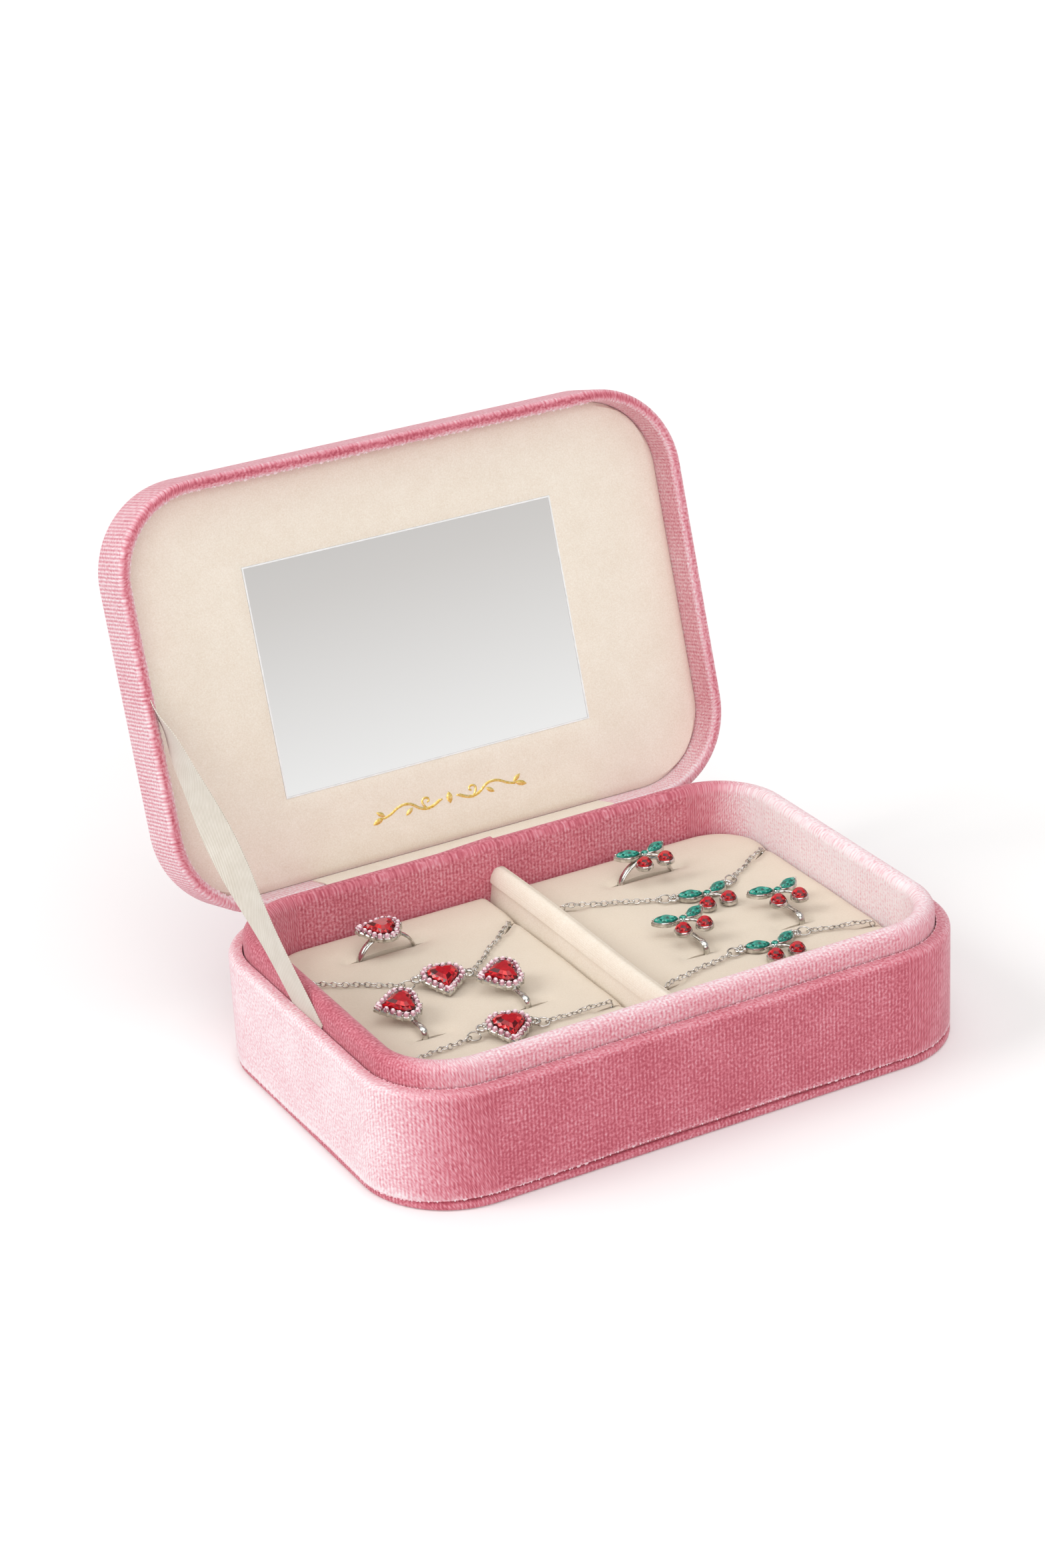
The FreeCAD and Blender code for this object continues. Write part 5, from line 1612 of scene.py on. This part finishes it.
def half_heart(grow, count):
    """Evenly spaced points from the notch, round the right lobe, down to the point."""
    radius = HEART_LOBE + grow
    notch = math.acos(-HEART_SPREAD / radius)
    arc = radius * (notch + HEART_SLOPE)
    touch = Vector((HEART_SPREAD + radius * math.cos(HEART_SLOPE), -radius * math.sin(HEART_SLOPE)))
    tip = Vector((0, -heart_tip(grow)))
    total = arc + (tip - touch).length
    points = []
    for k in range(count + 1):
        length = total * k / count
        if length <= arc:
            angle = notch - length / radius
            points.append(Vector((HEART_SPREAD + radius * math.cos(angle), radius * math.sin(angle))))
        else:
            points.append(touch.lerp(tip, (length - arc) / (total - arc)))
    return points


def heart_line(grow, count):
    """A whole heart outline, from the notch round by the left lobe."""
    half = half_heart(grow, count)
    left = [(-p.x, p.y) for p in half]
    right = [(p.x, p.y) for p in reversed(half[1:-1])]
    return left + right


print("a heart's point lies", round(heart_tip(0), 2), "mm in front of its middle")

# %% [markdown]
# The crystals have eight sides and a small table. Nine lie along each half of the row, each turned
# further than the one before, and one more fills the point.

# %% Heart stone and crystals
PLATE, ROW, PER_HALF = 1.2, 1.12, 9
heart_stone = cut_stone("heart_stone_model", heart_line(0.15, 8), PLATE, 0.95, 1.35, 0.5, (0, -0.7))
crystal = raised("crystal_model", round_line(0.72, 8), 0, (0.55, 1), (0.42, 0.78), (0.22, 0.68))
number_facets(crystal)
crystals = []
for k, spot in enumerate(half_heart(ROW, 2 * PER_HALF)[1::2]):
    for sign in (-1, 1):
        crystals.append(copy_of(crystal, moved(sign * spot.x, spot.y, PLATE + 0.05, k * 0.7 + sign)))
crystals.append(copy_of(crystal, moved(0, -heart_tip(ROW) + 0.25, PLATE + 0.05, 0.4)))
print(len(crystals), "crystals round a heart")
heart_halo = gather("heart_halo_model", crystals)
models += [heart_stone, crystal, heart_halo]

# %% [markdown]
# The plate's point is blunt. Small claws stand between the crystals, in a row outside them and a row
# beside the stone: short pegs with round tips, modelled once.

# %% Heart setting
CLAW_TOP, OUTER_ROW, INNER_ROW = 1.9 * MM, HEART_RIM - 0.12, 0.42


def blunt(points, hub, radius):
    """Round off the point of an outline: beyond the hub, it is kept within a radius."""
    made = []
    for x, y in points:
        spot = Vector((x, y - hub))
        if spot.y < 0 and spot.length > radius:
            spot = spot.normalized() * radius
        made.append((spot.x, spot.y + hub))
    return made


peg = {"vertices": 8, "radius": 0.34 * MM, "depth": CLAW_TOP, "location": (0, 0, CLAW_TOP / 2)}
prong = primitive(bpy.ops.mesh.primitive_cylinder_add, "prong_model", **peg)
settle()
bpy.ops.object.mode_set(mode="EDIT")
pick(prong, "EDGE", lambda edge: level(edge, CLAW_TOP))
bevel(0.26 * MM, 2)
bpy.ops.object.mode_set(mode="OBJECT")
smooth(prong, 60)

plate_line = blunt(heart_line(HEART_RIM - 0.25, 16), -heart_tip(ROW) + 0.35, 0.85)
plate = raised("heart_plate", plate_line, 0, (0.35, 1.05), (0.75, 1), (0.25, 0.96))
smooth(plate, 35)
outer_claws = half_heart(OUTER_ROW, 2 * PER_HALF)
inner_claws = half_heart(INNER_ROW, 2 * PER_HALF)
setting = [plate]
for sign in (-1, 1):
    setting += [copy_of(prong, moved(sign * p.x, p.y, 0.15)) for p in outer_claws[2:-1:2]]
    setting += [copy_of(prong, moved(sign * p.x, p.y, 0.3, scale=0.85)) for p in inner_claws[2:-1:2]]
setting.append(copy_of(prong, moved(0, outer_claws[0].y, 0.15, scale=1.1)))
setting.append(copy_of(prong, moved(0, -heart_tip(ROW) - 0.42, 0.15)))
print(len(setting) - 1, "claws on a heart")
heart_setting = gather("heart_setting_model", setting)
models += [prong, heart_setting]

# %% [markdown]
# ## Cherries
#
# A pair of cherries hangs on two stems below two leaves. Leaves are pointed ovals, drawn as two
# arcs that meet. Cherries are round stones with a ring of facets and a small table.

# %% Cherry stones and leaves
LEAF_LONG, LEAF_WIDE = 3.2, 1.5
CHERRY_X, CHERRY_Y = 3.3, -5.5


def leaf_line(grow, count):
    """The outline of a leaf, set out a little."""
    return pointed_oval(LEAF_LONG + grow * 1.3, LEAF_WIDE + grow, count)


leaf_model = cut_stone("leaf_model", leaf_line(0.05, 8), PLATE, 0.55, 0.95, 0.42)
cherry_model = cut_stone("cherry_model", round_line(2.1, 12), PLATE, 0.7, 1.25, 0.5)
leaf_places = [moved(sign * LEAF_X, LEAF_Y, 0, sign * LEAF_TURN) for sign in (-1, 1)]
cherry_places = [moved(sign * CHERRY_X, CHERRY_Y) for sign in (-1, 1)]
knot_stone = cut_stone("knot_stone_model", round_line(1.0, 8), PLATE + 0.1, 0.4, 0.5, 0.5)
leaf_parts = [copy_of(leaf_model, place) for place in leaf_places]
leaf_parts.append(copy_of(knot_stone, moved(0, 0.1)))
cherry_leaves = gather("cherry_leaves_model", leaf_parts)
cherry_stones = gather("cherry_stones_model", [copy_of(cherry_model, place) for place in cherry_places])
models += [leaf_model, knot_stone, cherry_model, cherry_leaves, cherry_stones]
measure(cherry_leaves)
measure(cherry_stones)

# %% [markdown]
# The stones sit in silver cups that open outwards. Two stems curve from a knot down to the cherries,
# and a claw holds each leaf at both ends.

# %% Cherry setting
leaf_cup = raised("leaf_cup", leaf_line(0.4, 10), 0, (0.25, 1.05), (0.85, 1), (0.3, 0.93))
cherry_cup = raised("cherry_cup", round_line(2.2, 20), 0, (0.3, 1.13), (0.85, 1), (0.35, 0.93))
knot = raised("knot", round_line(1.0, 12), 0, (0.4, 1.3), (0.8, 1), (0.6, 0.6))
for part, angle in ((leaf_cup, 35), (cherry_cup, 35), (knot, 50)):
    smooth(part, angle)
cherry_parts = [knot]
for sign in (-1, 1):
    route = [(0, 0.3, 0.9), (sign * 0.5, -1.6, 1.5), (sign * 2.2, -2.6, 1.5), (sign * 3.2, -4.4, 0.9)]
    cherry_parts.append(wire_line("stem", route, 0.42))
for place in leaf_places:
    cherry_parts.append(copy_of(leaf_cup, place))
    for end in (-1, 1):
        cherry_parts.append(copy_of(prong, place @ moved(end * 3.35, 0, 0.3, scale=0.95)))
cherry_parts += [copy_of(cherry_cup, place) for place in cherry_places]
cherry_setting = gather("cherry_setting_model", cherry_parts)
models += [leaf_cup, cherry_cup, cherry_setting]
measure(cherry_setting)

# %% [markdown]
# ## Hoops and clips
#
# A finger ring's hoop is a torus, widened along the finger and flattened inside. An ear clip is a
# flat wire that runs forward under the head and down into its slit. Both are drawn on the jewel's
# own place: x across, y to the back and z above the pad.

# %% Hoop and clip
HOOP, HOOP_WIRE, HOOP_INSIDE, HOOP_LOW = 8.6 * MM, 0.5 * MM, 8.25 * MM, 3.7 * MM
HOOP_WIDE, CLIP_WIDE = 2.2, 1.7
torus = {"major_radius": HOOP, "minor_radius": HOOP_WIRE, "major_segments": 72, "minor_segments": 12}
hoop = primitive(bpy.ops.mesh.primitive_torus_add, "hoop_model", rotation=(math.pi / 2, 0, 0), **torus)
hoop.location.z = -HOOP_LOW
settle()
for vertex in hoop.data.vertices:
    vertex.co.y *= HOOP_WIDE
    spoke = Vector((vertex.co.x, 0, vertex.co.z + HOOP_LOW))
    if spoke.length < HOOP - 0.05 * MM:
        spoke = spoke.normalized() * HOOP_INSIDE
        vertex.co.x, vertex.co.z = spoke.x, spoke.z - HOOP_LOW
smooth(hoop, 50)
measure(hoop)

under_head = [(0, 0.4, 2.4), (0, -0.6, 1.9), (0, -3.0, 1.8), (0, -6.5, 1.7), (0, -10.6, 1.9)]
into_slit = [(0, -11.6, 0.6), (0, -11.5, -2), (0, -11.5, -5)]
clip = wire_line("clip_model", under_head + into_slit, 0.55, sides=3, steps=8)
for vertex in clip.data.vertices:
    vertex.co.x *= CLIP_WIDE
models += [hoop, clip]
measure(clip)

# %% [markdown]
# ## Chains
#
# Eyelets, jump rings and links are all small rings of wire, drawn out to an oval where they need
# to be. The bead beside an eyelet is a little sphere.

# %% Links


def ring_of(name, radius, thick, stretch, steps, sides):
    """A round or oval wire ring that lies flat, long along X."""
    rounds = {"major_radius": radius * MM, "major_segments": steps}
    section = {"minor_radius": thick * MM, "minor_segments": sides}
    obj = primitive(bpy.ops.mesh.primitive_torus_add, name, **rounds, **section)
    for vertex in obj.data.vertices:
        vertex.co.x *= stretch
    smooth(obj, 80)
    return obj


eyelet = ring_of("eyelet_model", 1.1, 0.42, 1, 18, 8)
jump_ring = ring_of("jump_ring_model", 1.55, 0.22, 1.12, 20, 6)
link = ring_of("link_model", 0.66, 0.17, 1.32, 10, 5)
bead = primitive(bpy.ops.mesh.primitive_ico_sphere_add, "bead_model", subdivisions=2, radius=0.62 * MM)
smooth(bead, 80)
models += [eyelet, jump_ring, link, bead]
measure(link)

# %% [markdown]
# A chain is one long oval link, copied along its run, with each link rolled against the one before.
# It starts at a jump ring in the eyelet, lies over the pad and dives into its slit.

# %% Runs of chain
CHAIN_LEVEL, LINK_PITCH, DIVE_BEND, DIVE_DEEP = 25.55, 1.46, 1.7, 4
FIRST_RING, FIRST_LINK = 2.2, 3.9


def heading(along):
    """The turn about Z that lays X along a direction."""
    return Matrix.Rotation(math.atan2(along.y, along.x), 4, "Z")


def chain_links(name, hand):
    """The jump ring and every link of one run: along the pad, and down into the slit."""
    start, end, along = chain_run(name, hand)
    aside = Vector((-along.y, along.x, 0))
    spot = start + along * FIRST_RING
    roll = Matrix.Rotation(math.radians(18 * hand), 4, "X")
    ring_place = Matrix.Translation((spot.x, spot.y, CHAIN_LEVEL)) @ heading(along) @ roll
    parts = [copy_of(jump_ring, ring_place)]
    first = start + along * FIRST_LINK
    run = (end - first).length - DIVE_BEND
    turn_length = DIVE_BEND * math.pi / 2
    for k in range(int((run + turn_length + DIVE_DEEP) / LINK_PITCH)):
        length = k * LINK_PITCH
        if length <= run:
            wave = 0.28 * math.sin(length * 0.55 + hand) * math.sin(math.pi * length / run)
            spot, dive = first + along * length + aside * wave, 0.0
            height = CHAIN_LEVEL - 0.12
        elif length <= run + turn_length:
            dive = (length - run) / DIVE_BEND
            spot = first + along * (run + DIVE_BEND * math.sin(dive))
            height = CHAIN_LEVEL - DIVE_BEND * (1 - math.cos(dive))
        else:
            dive = math.pi / 2
            spot = first + along * (run + DIVE_BEND)
            height = CHAIN_LEVEL - DIVE_BEND - (length - run - turn_length)
        roll = Matrix.Rotation(math.radians(8 if k % 2 else -78) + 0.22 * math.sin(k * 2.1), 4, "X")
        way = heading(along) @ Matrix.Rotation(dive, 4, "Y") @ roll
        parts.append(copy_of(link, Matrix.Translation((spot.x, spot.y, height)) @ way))
    return parts


print("a link every", LINK_PITCH, "mm")

# %% [markdown]
# ## Setting out the jewels
#
# Each jewel is put together from copies, on its own body, so that it lifts out of the box by
# itself. Silver parts are joined into one piece, and stones stay separate.

# %% Putting a jewel together
SETTINGS = {"heart": heart_setting, "cherry": cherry_setting}
STONES = {
    "heart": (
        (heart_stone, "cut_stone", red_stone, "red_stone", "stone"),
        (heart_halo, "crystals", pink_crystal, "pink_crystal", "halo"),
    ),
    "cherry": (
        (cherry_stones, "cherries", red_stone, "red_stone", "stones"),
        (cherry_leaves, "leaf_pair", green_stone, "green_stone", "leaves"),
    ),
}


def place_silver(name, node, parts):
    """The silver parts of one jewel, joined."""
    dress(gather(f"{name}_silver", parts), silver, name, "silver", f"{name}_{node}")


def place_stones(name, theme, place):
    """The stones of one head."""
    for model, piece, finish, slot, node in STONES[theme]:
        stone = gather(f"{name}_{piece}", [copy_of(model, place)])
        dress(stone, finish, name, slot, f"{name}_{node}")


print("two kinds of head:", list(SETTINGS))

# %% [markdown]
# The finger rings stand in the wide slits at the back. The ear clips' heads lie in front of them, a
# little to one side of their own slits. The hearts are turned as they happen to lie.

# %% Rings and ear clips
RING_HEAD, RING_TURN = 29.4, {"heart": -120, "cherry": 0}
CLIP_Y, CLIP_HEAD = -2.5, 27.7
CLIP_ASIDE = {"heart": -1.5, "cherry": 2}
CLIP_TURN = {"heart": (12, -100), "cherry": (0, 0)}
for theme, middle in PAD_MIDDLES.items():
    name, x = f"{theme}_ring", middle + RING_SHIFT
    place = pose(x, RING_Y, RING_HEAD, turn=RING_TURN[theme])
    parts = [copy_of(SETTINGS[theme], place), copy_of(hoop, moved(x, RING_Y, PAD_TOP))]
    place_silver(name, "band", parts)
    place_stones(name, theme, place)
    for hand, shift in CLIP_SHIFTS.items():
        name, x = f"{theme}_earring_{hand}", middle + shift + CLIP_ASIDE[theme]
        place = pose(x, CLIP_Y, CLIP_HEAD, *CLIP_TURN[theme])
        parts = [copy_of(SETTINGS[theme], place), copy_of(clip, moved(x, CLIP_Y, PAD_TOP))]
        place_silver(name, "clip", parts)
        place_stones(name, theme, place)

# %% [markdown]
# The pendants of necklaces and bracelets lie on the pads. At both sides they have an eyelet with two
# small beads, where a chain begins. The models have done their work then, and are removed.

# %% Necklaces and bracelets
for name, place in PENDANTS.items():
    theme = name.split("_")[0]
    parts, links = [copy_of(SETTINGS[theme], place)], []
    for hand in (-1, 1):
        spot = eyelet_spot(theme, hand)
        parts.append(copy_of(eyelet, place @ Matrix.Translation(spot + Vector((0, 0, 0.6)))))
        for side in (-1, 1):
            offset = Vector((-0.9 * hand, side * 1.0, 0.9))
            parts.append(copy_of(bead, place @ Matrix.Translation(spot + offset)))
        links += chain_links(name, hand)
    place_silver(name, "setting", parts)
    dress(gather(f"{name}_links", links), silver, name, "silver", f"{name}_chain")
    place_stones(name, theme, place)

for model in models:
    bpy.data.objects.remove(model)

# %% [markdown]
# ## Studio
#
# The floor is pale paper. To the camera and in the mirror it glows very slightly, so that it runs
# into the white behind it, and it keeps the shadow of the box.

# %% Floor
floor = primitive(bpy.ops.mesh.primitive_plane_add, "floor", size=6)
floor_paper, tree, shader = new_finish("floor_paper", Roughness=0.9, Specular_IOR_Level=0.0)
shader.inputs["Base Color"].default_value = (0.86, 0.86, 0.86, 1)
path = add(tree, "ShaderNodeLightPath")
glow = add(tree, "ShaderNodeEmission", {"Color": (1, 1, 1, 1), "Strength": 0.12})
both = add(tree, "ShaderNodeAddShader")
seen = add(tree, "ShaderNodeMixShader")
in_view = maths(tree, "MAXIMUM", path.outputs["Is Camera Ray"], path.outputs["Is Glossy Ray"])
wire(tree, in_view, seen.inputs["Fac"])
wire(tree, shader.outputs["BSDF"], both.inputs[0])
wire(tree, glow.outputs["Emission"], both.inputs[1])
wire(tree, shader.outputs["BSDF"], seen.inputs[1])
wire(tree, both.outputs["Shader"], seen.inputs[2])
wire(tree, seen.outputs["Shader"], tree.nodes["Material Output"].inputs["Surface"])
floor.data.materials.append(floor_paper)
print("floor of", floor_paper.name)

# %% [markdown]
# The world is plain white for the camera and a soft warm white for light. Metal and mirror see a
# third sky, with grey bands by height, so that they have something to show.

# %% Sky
world = bpy.data.worlds.new("studio")
scene.world = world
world.use_nodes = True
tree = world.node_tree
soft_sky = tree.nodes["Background"]
soft_sky.inputs["Color"].default_value = (1.0, 0.985, 0.97, 1)
soft_sky.inputs["Strength"].default_value = 0.55
banded_sky = add(tree, "ShaderNodeBackground", {"Strength": 1.0})
white_sky = add(tree, "ShaderNodeBackground", {"Color": (1, 1, 1, 1), "Strength": 1.0})
height = add(tree, "ShaderNodeSeparateXYZ")
wire(tree, add(tree, "ShaderNodeTexCoord").outputs["Generated"], height.inputs["Vector"])
bands = ramp(
    tree,
    height.outputs["Z"],
    (0.0, (0.97, 0.97, 0.97)),
    (0.075, (0.93, 0.93, 0.93)),
    (0.14, (0.665, 0.645, 0.63)),
    (0.3, (0.2, 0.2, 0.2)),
    (0.5, (0.75, 0.75, 0.75)),
    (0.68, (0.12, 0.12, 0.12)),
    (0.85, (1.0, 1.0, 1.0)),
)
wire(tree, bands, banded_sky.inputs["Color"])
path = add(tree, "ShaderNodeLightPath")
mirrored = add(tree, "ShaderNodeMixShader")
wire(tree, path.outputs["Is Glossy Ray"], mirrored.inputs["Fac"])
wire(tree, soft_sky.outputs["Background"], mirrored.inputs[1])
wire(tree, banded_sky.outputs["Background"], mirrored.inputs[2])
shown = add(tree, "ShaderNodeMixShader")
wire(tree, path.outputs["Is Camera Ray"], shown.inputs["Fac"])
wire(tree, mirrored.outputs["Shader"], shown.inputs[1])
wire(tree, white_sky.outputs["Background"], shown.inputs[2])
wire(tree, shown.outputs["Shader"], tree.nodes["World Output"].inputs["Surface"])
print("sky with", len(tree.nodes), "nodes")

# %% [markdown]
# Three wide, soft suns light the box: one from the left, one from above and one from the front. A
# wide sun has soft shadows, as from a large window.

# %% Lamps


def soft_sun(name, towards, strength, spread):
    """A wide, soft sun that shines from a direction."""
    bpy.ops.object.light_add(type="SUN", location=Vector(towards))
    lamp = bpy.context.object
    lamp.name = name
    lamp.data.energy = strength
    lamp.data.angle = math.radians(spread)
    lamp.rotation_euler = Vector(towards).to_track_quat("Z", "Y").to_euler()
    print(name, "of strength", strength)


soft_sun("left_light", (-0.75, 0.25, 0.6), 1.2, 30)
soft_sun("top_light", (0.1, -0.15, 1.0), 0.68, 60)
soft_sun("front_light", (-0.3, -0.9, 0.35), 1.1, 60)
